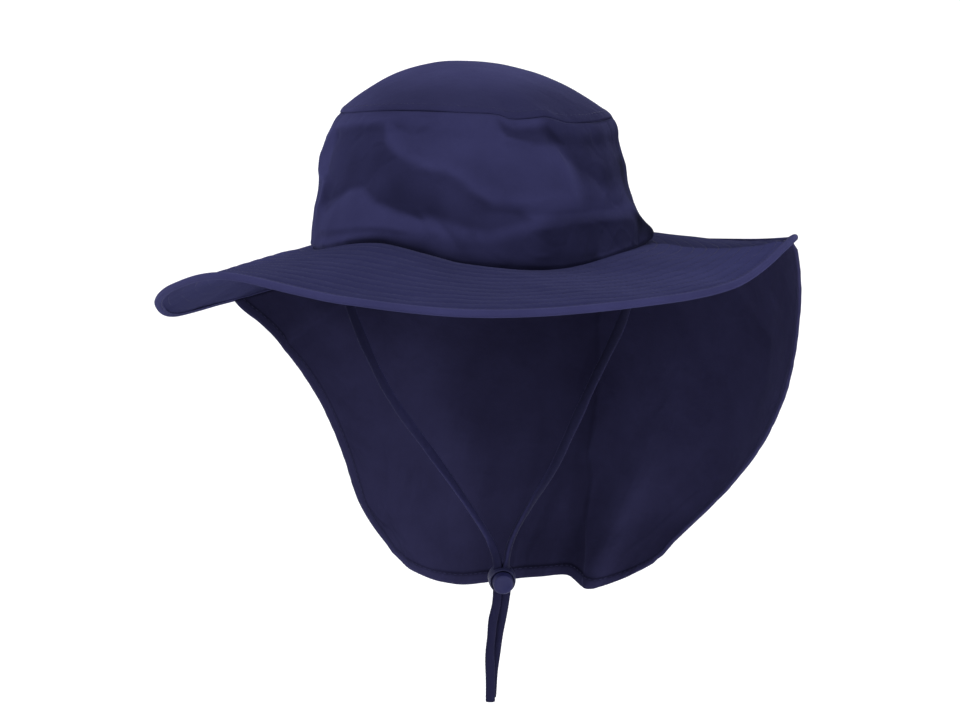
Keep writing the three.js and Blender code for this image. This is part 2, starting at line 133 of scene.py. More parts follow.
FLAP_FOLDS = table("across wide depth", [
    (0.12, 0.07, 0.35), (0.27, 0.08, -0.45), (0.46, 0.09, 0.6), (0.6, 0.05, 0.65), (0.7, 0.05, -0.75),
    (0.87, 0.08, 0.35),
])

# Chin cord: the part's routes, from the crown's side seams through the lock to the cut ends
CORD_DIAMETER = 4.4
LOCK_CENTRE = (12.5, 2, -184)
LOCK_TURN = math.radians(24)
LEFT_ROUTE = [
    (-83.5, 6, 15), (-83.5, 6, 5), (-83.4, 6, -8), (-82.9, 5.8, -20), (-80.5, 5.6, -33),
    (-66.3, 5.4, -66), (-53.2, 5.2, -88), (-31.2, 4.8, -115), (-8, 3.8, -144), (4.6, 2.2, -161),
    (9, 1.3, -170), (10.3, 1, -177), (10.3, 1, -184), (10.2, 1, -191), (9.6, 0.5, -199),
    (7.9, -0.4, -208), (7.1, -0.6, -217), (6.3, -0.9, -227), (6.5, -0.8, -241), (6.6, -0.8, -257),
]
RIGHT_ROUTE = [
    (83.5, 6, 15), (83.5, 6, 5), (83.3, 6, -8), (82.3, 5.8, -20), (78.4, 5.6, -34),
    (62.6, 5.4, -69), (51.3, 5.1, -95), (41, 4.8, -118), (29.8, 4.3, -137), (20.4, 3.6, -154),
    (16, 3.1, -166), (14.7, 3, -176), (14.7, 3, -184), (14.6, 3.1, -191), (13.2, 4, -199),
    (11.4, 5, -208), (9.9, 5, -217), (8.4, 4.5, -227), (7, 4.1, -237), (5.6, 3.8, -256),
]


def smooth(place, value, period=None):
    """The smooth curve through a table's rows, as a function. A period makes it go round."""
    if period:
        p = np.concatenate([place[-2:] - period, place, place[:2] + period])
        v = np.concatenate([value[-2:], value, value[:2]])
        first, last = 2, len(place) + 1
    else:
        p, v = place, value
        first, last = 0, len(place) - 2
    before = np.maximum(np.arange(len(p)) - 1, 0)
    after = np.minimum(np.arange(len(p)) + 1, len(p) - 1)
    slope = (v[after] - v[before]) / (p[after] - p[before])

    def curve(x):
        x = np.asarray(x, float)
        if period:
            x = place[0] + np.mod(x - place[0], period)
        i = np.clip(np.searchsorted(p, x, side="right") - 1, first, last)
        span = p[i + 1] - p[i]
        s = np.clip((x - p[i]) / span, 0, 1)
        s2, s3 = s * s, s * s * s
        return (
            (2 * s3 - 3 * s2 + 1) * v[i] + (s3 - 2 * s2 + s) * slope[i] * span
            + (3 * s2 - 2 * s3) * v[i + 1] + (s3 - s2) * slope[i + 1] * span
        )

    return curve


def round_the_hat(rows, column):
    return smooth(rows["angle"], rows[column], 360)


join_share = round_the_hat(CROWN_LINES, "join")
seam_share = round_the_hat(CROWN_LINES, "seam")
crown_size = smooth(CROWN_LEVELS["height"], CROWN_LEVELS["size"])
brim_width = round_the_hat(BRIM_LINES, "width")
brim_edge = round_the_hat(BRIM_LINES, "edge")
brim_lift = round_the_hat(BRIM_LINES, "lift")
flap_side = {c: smooth(FLAP_LEVELS["drop"], FLAP_LEVELS[c]) for c in FLAP_LEVELS if c != "drop"}
hem_depth = smooth(HEM_LINE["across"], HEM_LINE["depth"])


def join_height(angle):
    return JOIN_RISE * join_share(angle)


def seam_height(angle):
    return CROWN_HEIGHT * seam_share(angle)


def head_radius(angle):
    a = np.radians(angle)
    return 1 / np.hypot(np.sin(a) / HEAD_HALF_WIDTH, np.cos(a) / HEAD_HALF_LENGTH)


def at_angle(angle, radius, height):
    a = np.radians(angle)
    return np.stack(np.broadcast_arrays(np.sin(a) * radius, -np.cos(a) * radius, height), -1)


def turn_between(a, b):
    return np.mod(a - b + 180, 360) - 180


def bell(distance):
    return np.exp(-distance * distance)


def unit(vectors):
    """The same directions at length 1."""
    return vectors / np.linalg.norm(vectors, axis=-1, keepdims=True)


def run_along(points, power=1):
    """The way along a line up to each of its points, with each span to a power."""
    return np.concatenate([[0], np.cumsum(np.linalg.norm(np.diff(points, axis=0), axis=1) ** power)])


# Roundness of a fold's crest, in shares of its width, and how fast the fold falls off beside it
CREST_ROUND = 0.22
CREST_FALL = 1.5


def crease(distance):
    """1 at a nearly sharp crest, falling off like a fold in thin cloth."""
    return np.exp(-CREST_FALL * (np.hypot(distance, CREST_ROUND) - CREST_ROUND))


def bulge(x, height, place, wide):
    """A rounded rise of a height at a place, over a width to each side."""
    return height * bell((x - place) / wide)


def step_up(x, low, high):
    """0 below low, 1 above high and a soft step between."""
    s = np.clip((x - low) / (high - low), 0, 1)
    return s * s * (3 - 2 * s)


def crown_side(angle, up):
    """The crown's side, from the brim (up 0) to the tip seam (up 1)."""
    push = 0
    for a, height, wide, tall, depth in zip(*CROWN_DENTS.values()):
        push = push + depth * bell(turn_between(angle, a) / wide) * bell((up - height) / tall)
    held = np.clip((1 - up) / SEAM_HOLD, 0, 1)
    radius = (head_radius(angle) - CROWN_WALL / 2) * crown_size(up) + DENT_DEPTH * push * held
    foot = join_height(angle) + SEAM_GAP
    point = at_angle(angle, radius, foot + (seam_height(angle) - foot) * up)
    point[..., 0] -= CROWN_LEAN * up
    return point


def crown_tip(angle, inwards):
    """The crown's tip, from its seam (inwards 0) to the middle (inwards 1)."""
    share = 1 - inwards
    rim = crown_side(angle, np.ones_like(share))
    lift = DOME_RISE * (1 - share**DOME_POWER)
    level = CROWN_HEIGHT + (rim[..., 2] - CROWN_HEIGHT) * share**2
    lean = DOME_LEAN * (1 - share**2)
    height = level + lift + CROWN_WALL / 2 + SEAM_GAP
    return np.stack([rim[..., 0] * share - lean, rim[..., 1] * share, height], -1)


# Width of the bend where the brim leaves its level lap, in shares of its width
LAP_BEND = 0.03


def brim(angle, out, bend=LAP_BEND):
    """The brim, from its lap under the crown (out 0) to its edge (out 1)."""
    inner = head_radius(angle) - JOIN_LAP
    radius = inner + (BRIM_WIDTH * brim_width(angle) + JOIN_LAP) * out
    past = out - LAP_SHARE
    free = (past + np.hypot(past, bend)) / 2 / (1 - LAP_SHARE)
    root = join_height(angle) - BRIM_WALL / 2
    fall = (BRIM_RISE * brim_edge(angle) - root) * free
    lift = BRIM_RISE * brim_lift(angle) * 4 * free * (1 - free)
    return at_angle(angle, radius, root + fall + lift)


flap_top_gap = BRIM_WALL / 2 + GAP + TAPE_WALL + SEAM_GAP


def flap_top(angle):
    """Radius and height of the flap's top edge, under the tape."""
    seat = brim(angle, 1 - TAPE_WIDTH / 2 / BRIM_WIDTH)
    edge = brim(angle, 1.0)
    radius = np.hypot(seat[..., 0], seat[..., 1])
    lean = np.abs(edge[..., 2] - seat[..., 2]) / (np.hypot(edge[..., 0], edge[..., 1]) - radius)
    return radius, seat[..., 2] - flap_top_gap * np.hypot(1, lean) - HEM_WALL / 2 * lean


# How far the sewn top of the flap reaches up into the edge tape
FLAP_TUCK = 1.6


def flap(across, down):
    """The flap, across from its left edge to its right and down from the brim's edge to the hem."""
    left, right = flap_side["left_angle"], flap_side["right_angle"]
    angle = left(down) + (right(down) - left(down)) * across
    side = 2 * across - 1
    share = (
        flap_side["left"](down) * side * (side - 1) / 2 + flap_side["back"](down) * (1 - side * side)
        + flap_side["right"](down) * side * (side + 1) / 2
    )
    push = 0
    for a, wide, depth in zip(*FLAP_FOLDS.values()):
        push = push + depth * bell((across - a) / wide)
    radius = flap_top(angle)[0] * share + FLAP_FOLD_DEPTH * push * np.minimum(1, down * FOLD_GROWTH)
    top = flap_top(left(0) + (right(0) - left(0)) * across)[1] + FLAP_TUCK
    return at_angle(angle, radius, top + (-FLAP_DROP * hem_depth(across) - top) * down)


# Lengths of the waves that make up an uneven field, in shares of its size
WAVE_LENGTHS = (1.4, 3.2)


def ripples(seed, u, v, size, count=14):
    """A smooth, gently uneven field between about -1 and 1 with hollows of a size, in millimetres."""
    draw = np.random.default_rng(seed)
    total = 0
    for _ in range(count):
        turn, phase = draw.uniform(0, 2 * math.pi, 2)
        wave = 2 * math.pi / (size * draw.uniform(*WAVE_LENGTHS))
        total = total + np.sin((u * math.cos(turn) + v * math.sin(turn)) * wave + phase)
    return total / math.sqrt(count)


def uneven(u, v, rows):
    """Soft humps and hollows of a cloth, from rows of height, seed and size."""
    return sum(height * ripples(seed, u, v, size) for height, seed, size in rows)


# Crumples: the size of the zones that have them, of the fields whose level lines are their crests and
# their hollows, and how thin they are
CRUMPLE_ZONE = 40
CRUMPLE_CRESTS = 16
CRUMPLE_HOLLOWS = 22
CRUMPLE_THIN = 7


def crumple(seed, u, v, height):
    """Thin crests and hollows that wander over the cloth here and there."""
    zone = step_up(ripples(seed + 1, u, v, CRUMPLE_ZONE), -0.4, 0.8)
    crests, hollows = ripples(seed, u, v, CRUMPLE_CRESTS), ripples(seed + 2, u, v, CRUMPLE_HOLLOWS)
    return height * zone * (crease(CRUMPLE_THIN * crests) - crease(CRUMPLE_THIN * hollows))


def span_gap(x, y, start, end):
    """Distance from points to a straight span."""
    dx, dy = end[0] - start[0], end[1] - start[1]
    s = np.clip(((x - start[0]) * dx + (y - start[1]) * dy) / (dx * dx + dy * dy), 0, 1)
    return np.hypot(x - start[0] - s * dx, y - start[1] - s * dy)


def fold_line(x, y, points, above, below):
    """1 along a line through points, falling off over widths above and below it, in millimetres."""
    best = np.full(np.shape(x), 1e9)
    side = np.zeros(np.shape(x))
    for start, end in zip(points[:-1], points[1:]):
        gap = span_gap(x, y, start, end)
        turn = (end[0] - start[0]) * (y - start[1]) - (end[1] - start[1]) * (x - start[0])
        side = np.where(gap < best, turn, side)
        best = np.minimum(gap, best)
    return np.where(side > 0, crease(best / above), crease(best / below))


def laid_flat(points, wide, tall, start=0):
    """Points of a table on the cloth laid flat, in millimetres, with its first direction from start."""
    return [((a - start) * wide, b * tall) for a, b in points]


def fold_lines(x, y, rows, *flat):
    """All fold lines of a list, each with its widths to both sides and its height."""
    return sum(height * fold_line(x, y, laid_flat(points, *flat), above, below)
               for points, above, below, height in rows)


# Width of a crest between two slopes of a fold, and how much nearer fold lines outweigh others
FOLD_CREST = 0.8
FOLD_PULL = 1.5


def drape(x, y, lines, period=0):
    """Heights that follow each fold line, with even slopes from one to the next."""
    total = weights = 0
    for points, height in lines:
        gap = np.full(np.shape(x), 1e9)
        for shift in {-period, 0, period}:
            for start, end in zip(points[:-1], points[1:]):
                gap = np.minimum(gap, span_gap(x - shift, y, start, end))
        weight = (gap * gap + FOLD_CREST**2) ** (-FOLD_PULL / 2)
        total = total + height * weight
        weights = weights + weight
    return total / weights


def patch(x, y, outline, soft):
    """1 inside an outline and 0 outside it, over a soft border."""
    inside = np.zeros(np.shape(x), bool)
    gap = np.full(np.shape(x), 1e9)
    for start, end in zip(outline, outline[1:] + outline[:1]):
        gap = np.minimum(gap, span_gap(x, y, start, end))
        if start[1] != end[1]:
            level = start[0] + (y - start[1]) * (end[0] - start[0]) / (end[1] - start[1])
            inside ^= ((start[1] > y) != (end[1] > y)) & (x < level)
    return step_up(np.where(inside, gap, -gap), -soft, soft)


def patches(x, y, rows, *flat):
    """All patches of a list, each with its soft border and its change of the nap."""
    return sum(change * patch(x, y, laid_flat(points, *flat), soft) for points, soft, change in rows)


def normals(points, ring):
    """Unit normals of a grid of points, across its first direction and then its second."""
    if ring:
        along = np.roll(points, -1, 0) - np.roll(points, 1, 0)
    else:
        along = np.gradient(points, axis=0)
    return unit(np.cross(along, np.gradient(points, axis=1)))


def wall(base, n, outer, inner, shift):
    """Front and back of a cloth whose sides stand off its middle, all shifted along its normals."""
    return base + n * (outer + shift)[..., None], base - n * (inner - shift)[..., None]


def add_mesh(name, points, faces, uv=None, material=None):
    """A smooth mesh object from points in millimetres."""
    mesh = bpy.data.meshes.new(name)
    mesh.from_pydata((np.asarray(points) * MM).tolist(), [], faces)
    if uv is not None:
        corners = np.empty(len(mesh.loops), np.int32)
        mesh.loops.foreach_get("vertex_index", corners)
        layer = mesh.uv_layers.new(name="cloth")
        layer.data.foreach_set("uv", (np.asarray(uv) * MM)[corners].astype(np.float32).ravel())
    mesh.shade_smooth()
    if material:
        mesh.materials.append(material)
    piece = bpy.data.objects.new(name, mesh)
    bpy.context.scene.collection.objects.link(piece)
    return piece


def grid_faces(at, columns, rows, ring, turned):
    """Quads of a grid whose point i, j has the number at(i, j)."""
    spans = columns if ring else columns - 1
    i, j = np.meshgrid(np.arange(spans), np.arange(rows - 1), indexing="ij")
    i, j = i.ravel(), j.ravel()
    quads = np.stack([at(i, j), at(i + 1, j), at(i + 1, j + 1), at(i, j + 1)], -1)
    return (quads[:, ::-1] if turned else quads).tolist()


def shell(name, front, back, uv, material, ring, turned=False, apex=None, painted_shade=None, back_painted_shade=None,
          skip=2):
    """A closed wall from two grids: all points of the front, and every point of the back at skip 1
    or every second one at skip 2.

    apex, if given, is the front and the back point that close the last row of both.
    The painted light and shade, if given, lifts or lowers the base colour at each front point, and at each
    back one unless the back has its own."""
    columns, rows = front.shape[:2]
    back, back_uv = back[::skip, ::skip], uv[::skip, ::skip]
    bc, br = back.shape[:2]
    shift = columns * rows

    def at(i, j):
        return (i % columns) * rows + j

    def behind(i, j):
        return shift + (i % bc) * br + j

    faces = grid_faces(at, columns, rows, ring, turned)
    faces += grid_faces(behind, bc, br, ring, not turned)
    points = [front.reshape(-1, 3), back.reshape(-1, 3)]
    uvs = [uv.reshape(-1, 2), back_uv.reshape(-1, 2)]
    steps = range(skip + 1)

    def rim(corners):
        faces.append(corners[::-1] if turned else corners)

    for k in range(bc if ring else bc - 1):
        rim([at(skip * k + s, 0) for s in steps[::-1]] + [behind(k, 0), behind(k + 1, 0)])
        if apex is None:
            last = [at(skip * k + s, rows - 1) for s in steps]
            rim(last + [behind(k + 1, br - 1), behind(k, br - 1)])
    if apex is not None:
        top = shift + bc * br
        points.append(np.array(apex, float))
        uvs.append(np.repeat(np.mean(uv[:, -1], 0)[None], 2, 0))
        for k in range(columns):
            rim([at(k, rows - 1), at(k + 1, rows - 1), top])
        for k in range(bc):
            rim([behind(k + 1, br - 1), behind(k, br - 1), top + 1])
    if not ring:
        for k in range(br - 1):
            rim([at(0, skip * k + s) for s in steps] + [behind(0, k + 1), behind(0, k)])
            last = [at(columns - 1, skip * k + s) for s in steps[::-1]]
            rim(last + [behind(bc - 1, k), behind(bc - 1, k + 1)])
    piece = add_mesh(name, np.concatenate(points), faces, np.concatenate(uvs), material)
    if painted_shade is not None:
        shades = np.zeros(len(piece.data.vertices))
        back_painted_shade = (painted_shade if back_painted_shade is None else back_painted_shade)[::skip, ::skip]
        shades[: shift + bc * br] = np.concatenate([painted_shade.ravel(), back_painted_shade.ravel()])
        set_painted_shade(piece, shades)
    return piece


def marks(*fixed, to, step):
    """Fixed marks followed by even steps up to a length, an even number of spans in all."""
    spans = max(1, round((to - fixed[-1]) / step))
    if (len(fixed) - 1 + spans) % 2:
        spans += 1
    return np.concatenate([fixed[:-1], np.linspace(fixed[-1], to, spans + 1)])


# Thread of the topstitching: its half thickness, and in shares of that, how deep a stitch's ends lie
# and how high and how flat its middle is
STITCH_PITCH = 3.4
STITCH_LENGTH = 2.5
THREAD = 0.19
THREAD_SUNK = 0.6
THREAD_RISE = 0.35
THREAD_FLAT = 0.7


def stitches(name, lines, pitch=STITCH_PITCH, length=STITCH_LENGTH):
    """One mesh of short stitches along lines, each a run of points, their normals and if it goes round."""
    ends = []
    for points, normal, ring in lines:
        if ring:
            points = np.concatenate([points, points[:1]])
            normal = np.concatenate([normal, normal[:1]])
        run = run_along(points)
        count = max(1, int(run[-1] / pitch))
        start = np.arange(count) * run[-1] / count

        def place(at, values):
            return np.stack([np.interp(at, run, values[:, k]) for k in range(3)], -1)

        ends.append([place(start, points), place(start + length, points), place(start, normal)])
    a, b, n = (np.concatenate(x) for x in zip(*ends))
    along = b - a
    side = unit(np.cross(along, n))
    rings = [a - n * THREAD * THREAD_SUNK]
    for share in (0.2, 0.8):
        middle = a + along * share + n * THREAD * THREAD_RISE
        for across, up in ((1, 0), (0, THREAD_FLAT), (-1, 0), (0, -THREAD_FLAT)):
            rings.append(middle + side * THREAD * across + n * THREAD * up)
    rings.append(b - n * THREAD * THREAD_SUNK)
    count = len(a)
    points = np.stack(rings, 1).reshape(-1, 3)
    base = np.arange(count)[:, None] * len(rings)
    faces = []
    for k in range(4):
        m = (k + 1) % 4
        faces += (base + [0, 1 + m, 1 + k]).tolist()
        faces += (base + [1 + k, 1 + m, 5 + m, 5 + k]).tolist()
        faces += (base + [9, 5 + k, 5 + m]).tolist()
    return add_mesh(name, points, faces, material=thread)


def set_inputs(node, **values):
    for name, value in values.items():
        node.inputs[name.replace("_", " ")].default_value = value


def noise(nodes, links, source, scale, detail=3.0, roughness=0.5):
    node = nodes.new("ShaderNodeTexNoise")
    set_inputs(node, Scale=scale, Detail=detail, Roughness=roughness)
    links.new(source, node.inputs["Vector"])
    return node.outputs["Fac"]


def bump(nodes, links, height, strength, distance, before=None):
    node = nodes.new("ShaderNodeBump")
    set_inputs(node, Strength=strength, Distance=distance)
    links.new(height, node.inputs["Height"])
    if before is not None:
        links.new(before, node.inputs["Normal"])
    return node.outputs["Normal"]


def weave_height(nodes, links, source, pitch):
    """A plain weave: ribs one way and the other, each period a pitch in metres of the cloth's own map."""
    waves = []
    for direction in ("X", "Y"):
        wave = nodes.new("ShaderNodeTexWave")
        wave.bands_direction = direction
        set_inputs(wave, Scale=math.pi / 10 / pitch, Distortion=0.0)
        links.new(source, wave.inputs["Vector"])
        waves.append(wave.outputs["Fac"])
    both = nodes.new("ShaderNodeMath")
    both.operation = "MULTIPLY"
    links.new(waves[0], both.inputs[0])
    links.new(waves[1], both.inputs[1])
    return both.outputs[0]


def apply_painted_shade(nodes, links, shade, shader):
    """The base colour, painted lighter or darker by the mesh's own painted light and shade values."""
    painted_shade = nodes.new("ShaderNodeAttribute")
    painted_shade.attribute_name = "painted_shade"
    level = nodes.new("ShaderNodeMath")
    links.new(painted_shade.outputs["Fac"], level.inputs[0])
    level.inputs[1].default_value = 1
    shaded = nodes.new("ShaderNodeVectorMath")
    shaded.operation = "SCALE"
    links.new(shade.outputs["Color"], shaded.inputs[0])
    links.new(level.outputs[0], shaded.inputs["Scale"])
    links.new(shaded.outputs[0], shader.inputs["Base Color"])


def set_painted_shade(piece, values):
    """Gives a mesh its painted light and shade: 0 for the cloth's own colour, above it painted lighter and
    below it painted darker.
    """
    layer = piece.data.attributes.new("painted_shade", "FLOAT", "POINT")
    layer.data.foreach_set("value", np.asarray(values, np.float32))


def new_material(name, **values):
    """A material with its principled shader set, and its nodes and links."""
    material = bpy.data.materials.new(name)
    material.use_nodes = True
    nodes, links = material.node_tree.nodes, material.node_tree.links
    shader = nodes["Principled BSDF"]
    set_inputs(shader, **values)
    return material, nodes, links, shader


def drifting_shade(nodes, links, colours, ends=(0, 1), **pattern):
    """A shade that drifts between two colours in a noise pattern, and the mesh's maps."""
    maps = nodes.new("ShaderNodeTexCoord").outputs
    shade = nodes.new("ShaderNodeValToRGB")
    for stop, place, colour in zip(shade.color_ramp.elements, ends, colours):
        stop.position = place
        stop.color = (*colour, 1)
    links.new(noise(nodes, links, maps["Object"], **pattern), shade.inputs["Fac"])
    return shade, maps


# Period of the cloth's weave, in metres, and the colours of its two shades for each part of the hat
WEAVE_PITCH = 0.00042
NAVY = ((0.0195, 0.0195, 0.057), (0.0245, 0.0245, 0.071))
# The flap's cloth colour, painted darker and less blue than the crown's as the shade it hangs in under the
# brim
FLAP_SHADED_NAVY = ((0.0168, 0.016, 0.043), (0.021, 0.0203, 0.054))
BRIM_NAVY = ((0.0118, 0.0122, 0.039), (0.0147, 0.0151, 0.047))
THREAD_NAVY = ((0.012, 0.0125, 0.038), (0.021, 0.0215, 0.062))
CORD_NAVY = ((0.0098, 0.0096, 0.03), (0.0145, 0.0142, 0.045))
SHELL_NAVY = ((0.0115, 0.012, 0.038), (0.0155, 0.016, 0.05))
BUTTON_NAVY = ((0.0095, 0.01, 0.043), (0.0125, 0.013, 0.054))


def cloth_material(name, colours, puckers=0.5):
    """Smooth navy microfibre: a tight weave, soft unevenness, a slight random change of tone and the mesh's
    painted light and shade.
    """
    material, nodes, links, shader = new_material(
        name, Roughness=0.8, Sheen_Weight=0.07, Sheen_Roughness=0.4, Sheen_Tint=(0.5, 0.52, 1, 1),
        Specular_IOR_Level=0)
    shade, maps = drifting_shade(nodes, links, colours, (0.3, 0.7), scale=28, detail=4, roughness=0.6)
    apply_painted_shade(nodes, links, shade, shader)
    soft = noise(nodes, links, maps["Object"], scale=90, detail=4, roughness=0.55)
    normal = bump(nodes, links, soft, strength=puckers, distance=0.0012)
    fine = weave_height(nodes, links, maps["UV"], WEAVE_PITCH)
    normal = bump(nodes, links, fine, strength=0.25, distance=0.00015, before=normal)
    links.new(normal, shader.inputs["Normal"])
    return material


def thread_material():
    material, nodes, links, shader = new_material(
        "thread", Roughness=0.6, Sheen_Weight=0.05, Sheen_Roughness=0.4, Sheen_Tint=(0.6, 0.62, 1, 1),
        Specular_IOR_Level=0.1)
    shade, maps = drifting_shade(nodes, links, THREAD_NAVY, scale=900)
    links.new(shade.outputs["Color"], shader.inputs["Base Color"])
    return material


def cord_material():
    material, nodes, links, shader = new_material(
        "braid", Roughness=0.6, Sheen_Weight=0.04, Sheen_Roughness=0.45, Sheen_Tint=(0.55, 0.57, 1, 1),
        Specular_IOR_Level=0.02)
    shade, maps = drifting_shade(nodes, links, CORD_NAVY, scale=500, detail=4)
    # The braid's base colour takes the cord's painted light and shade
    apply_painted_shade(nodes, links, shade, shader)
    fibre = bump(nodes, links, noise(nodes, links, maps["Object"], scale=2600), 0.35, 0.0002)
    links.new(fibre, shader.inputs["Normal"])
    return material


def plastic_material(name, colours, roughness=0.5):
    """Moulded satin plastic with a faint grain and a few duller places."""
    material, nodes, links, shader = new_material(name, Specular_IOR_Level=0.14)
    shade, maps = drifting_shade(nodes, links, colours, scale=120)
    links.new(shade.outputs["Color"], shader.inputs["Base Color"])
    dull = nodes.new("ShaderNodeMapRange")
    set_inputs(dull, To_Min=roughness - 0.06, To_Max=roughness + 0.1)
    links.new(noise(nodes, links, maps["Object"], scale=300, detail=4), dull.inputs["Value"])
    links.new(dull.outputs["Result"], shader.inputs["Roughness"])
    grain = bump(nodes, links, noise(nodes, links, maps["Object"], scale=3000, detail=2), 0.12, 0.0001)
    links.new(grain, shader.inputs["Normal"])
    return material


thread = thread_material()

# Chin cord: points round it, and its braid's threads, the length of one turn and their relief
CORD_SIDES = 32
BRAID_CARRIERS = 8
BRAID_PITCH = 8.5
BRAID_RELIEF = 0.11
# Half sizes of the flattened cord, and how far its cut ends bulge
CORD_WIDE = 2.55
CORD_THICK = 1.6
CUT_END = 0.3
# The direction that its flat side faces, the stretches from its top over which it turns edge-on and
# back, and how far, and its small twists and pinches: size, length and shift
CORD_FACING = math.radians(20)
CORD_EDGE_ON = (120, 185)
CORD_TURNOVER = (200, 214)
CORD_TURN = 1.3
CORD_TWISTS = [(0.16, 37, 1), (0.08, 13, 2)]
CORD_PINCHES = [(0.05, 9, 1), (0.04, 4.1, 3)]
# Its painted light and shade: highlights painted on its borders, a painted darker middle, the stretch from
# its top's painted shade to the next, and its tail's painted shade
CORD_BORDER_HIGHLIGHT = 0.55
CORD_MIDDLE_SHADE = 0.12
CORD_FADE = (50, 130)
CORD_TAIL_SHADE = -0.3


def cord_path(route, step=0.6):
    """Points along the part's curve through a route: a centripetal Catmull-Rom curve."""
    points = np.array(route, float)
    points = np.concatenate([[2 * points[0] - points[1]], points, [2 * points[-1] - points[-2]]])
    path = []
    for k in range(1, len(points) - 2):
        p = points[k - 1 : k + 3]
        knots = run_along(p, power=0.5)
        count = max(2, round(np.linalg.norm(p[2] - p[1]) / step))
        t = np.linspace(knots[1], knots[2], count, endpoint=False)[:, None]

        def between(a, b, i, j):
            return ((knots[j] - t) * a + (t - knots[i]) * b) / (knots[j] - knots[i])

        a1, a2, a3 = between(p[0], p[1], 0, 1), between(p[1], p[2], 1, 2), between(p[2], p[3], 2, 3)
        path.append(between(between(a1, a2, 0, 2), between(a2, a3, 1, 3), 1, 2))
    path.append(points[-2][None])
    return np.concatenate(path)


def sway(run, seed, waves):
    """The sum of slow waves along a cord."""
    return sum(size * np.sin(run / length + shift * seed) for size, length, shift in waves)


def make_cord(name, node, route, seed, shade):
    """A flattened braided tube along a route, with its cut end closed.

    shade is the painted shade at its top and halfway down to the lock."""
    path = cord_path(route)
    run = run_along(path)
    tangent = unit(np.gradient(path, axis=0))
    side = unit(np.cross(tangent, [math.sin(CORD_FACING), -math.cos(CORD_FACING), 0]))
    face = np.cross(side, tangent)
    turned = CORD_TURN * step_up(run, *CORD_EDGE_ON) * (1 - step_up(run, *CORD_TURNOVER))
    twist = turned + sway(run, seed, CORD_TWISTS)
    around = 2 * math.pi * np.arange(CORD_SIDES) / CORD_SIDES
    turn, along = np.meshgrid(around, run)
    carriers = BRAID_CARRIERS * turn / (2 * math.pi)
    lift = BRAID_CARRIERS * along / BRAID_PITCH / 2
    over = np.cos(2 * math.pi * carriers) * np.cos(2 * math.pi * lift) > 0
    one = np.cos(2 * math.pi * (carriers / 2 + lift / 2)) ** 2
    other = np.cos(2 * math.pi * (carriers / 2 - lift / 2)) ** 2
    relief = BRAID_RELIEF * np.where(over, one, other)
    pinch = 1 + sway(along, seed, CORD_PINCHES)
    x = (CORD_WIDE * pinch + relief) * np.cos(turn)
    y = (CORD_THICK / pinch + relief) * np.sin(turn)
    c, s = np.cos(twist)[:, None], np.sin(twist)[:, None]
    across, outward = x * c - y * s, x * s + y * c
    points = path[:, None] + across[..., None] * side[:, None] + outward[..., None] * face[:, None]
    rows = len(path)

    def at(i, j):
        return j * CORD_SIDES + i % CORD_SIDES

    faces = grid_faces(at, CORD_SIDES, rows, True, False)
    ends = [path[0] - tangent[0] * CUT_END, path[-1] + tangent[-1] * CUT_END]
    flat = np.concatenate([points.reshape(-1, 3), ends])
    first, last = len(flat) - 2, len(flat) - 1
    for i in range(CORD_SIDES):
        faces.append([at(i, 0), first, at(i + 1, 0)])
        faces.append([at(i + 1, rows - 1), last, at(i, rows - 1)])
    uv = np.stack([turn * CORD_WIDE, along], -1).reshape(-1, 2)
    uv = np.concatenate([uv, uv[:1], uv[-1:]])
    cord = add_mesh(name, flat, faces, uv, braid)
    # Painted light and shade: highlights painted along the flat cord's edges, painted shade in its middle,
    # graded from its top down, and on its tail
    painted_shade = CORD_BORDER_HIGHLIGHT * np.abs(np.cos(turn)) ** 8 - CORD_MIDDLE_SHADE
    painted_shade = painted_shade + shade[0] + (shade[1] - shade[0]) * step_up(along, *CORD_FADE)
    tail = step_up(along, *CORD_TURNOVER)
    painted_shade = painted_shade * (1 - tail) + CORD_TAIL_SHADE * tail
    set_painted_shade(cord, np.concatenate([painted_shade.ravel(), [0, 0]]))
    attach(cord, "hat")
    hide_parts(node)
    return cord, path * MM


braid = cord_material()
# Each cord's painted shade at its top, where the brim shades it, and halfway down to the lock
left_cord, left_path = make_cord(
    "chin_cord_left_braid", "chin_cord_left", LEFT_ROUTE, 1, (-0.35, 0.15))
right_cord, right_path = make_cord(
    "chin_cord_right_braid", "chin_cord_right", RIGHT_ROUTE, 2.3, (-0.5, -0.3))

# Cord lock. Its axis is +Y turned by LOCK_TURN, into the lock from the button.
LOCK_RADIUS = 7.8
LOCK_WALL = 1.6
BUTTON_TRAVEL = 3
BARREL_LIP = 2.6
BUTTON_CAP = 2.4
LOCK_LENGTH = 15
PLUNGER_FOOT = 2.2
strand_half = CORD_DIAMETER / 2 + GAP
barrel_mouth = -strand_half - BARREL_LIP
barrel_back = barrel_mouth + LOCK_LENGTH
bore_radius = LOCK_RADIUS - LOCK_WALL
button_radius = bore_radius - GAP
button_face = barrel_mouth - BUTTON_TRAVEL - BUTTON_CAP


def at_lock(x, y, z):
    """Points of the lock, x across it and y along its axis, in the hat's place."""
    c, s = math.cos(LOCK_TURN), math.sin(LOCK_TURN)
    return np.stack([x * c - y * s, x * s + y * c, z], -1) + LOCK_CENTRE


def lathe(name, profile, sides, material):
    """A turned piece on the lock's axis, from points (radius, along), placed at the lock."""
    r, along = np.array(profile, float).T
    a = 2 * math.pi * np.arange(sides) / sides
    points = at_lock(np.outer(np.cos(a), r), np.tile(along, (sides, 1)), np.outer(np.sin(a), r))
    rows = len(profile)

    def at(i, j):
        return (i % sides) * rows + j

    faces = grid_faces(at, sides, rows, True, False)
    faces.append([at(i, 0) for i in range(sides)])
    faces.append([at(i, rows - 1) for i in reversed(range(sides))])
    return add_mesh(name, points.reshape(-1, 3), faces, material=material)


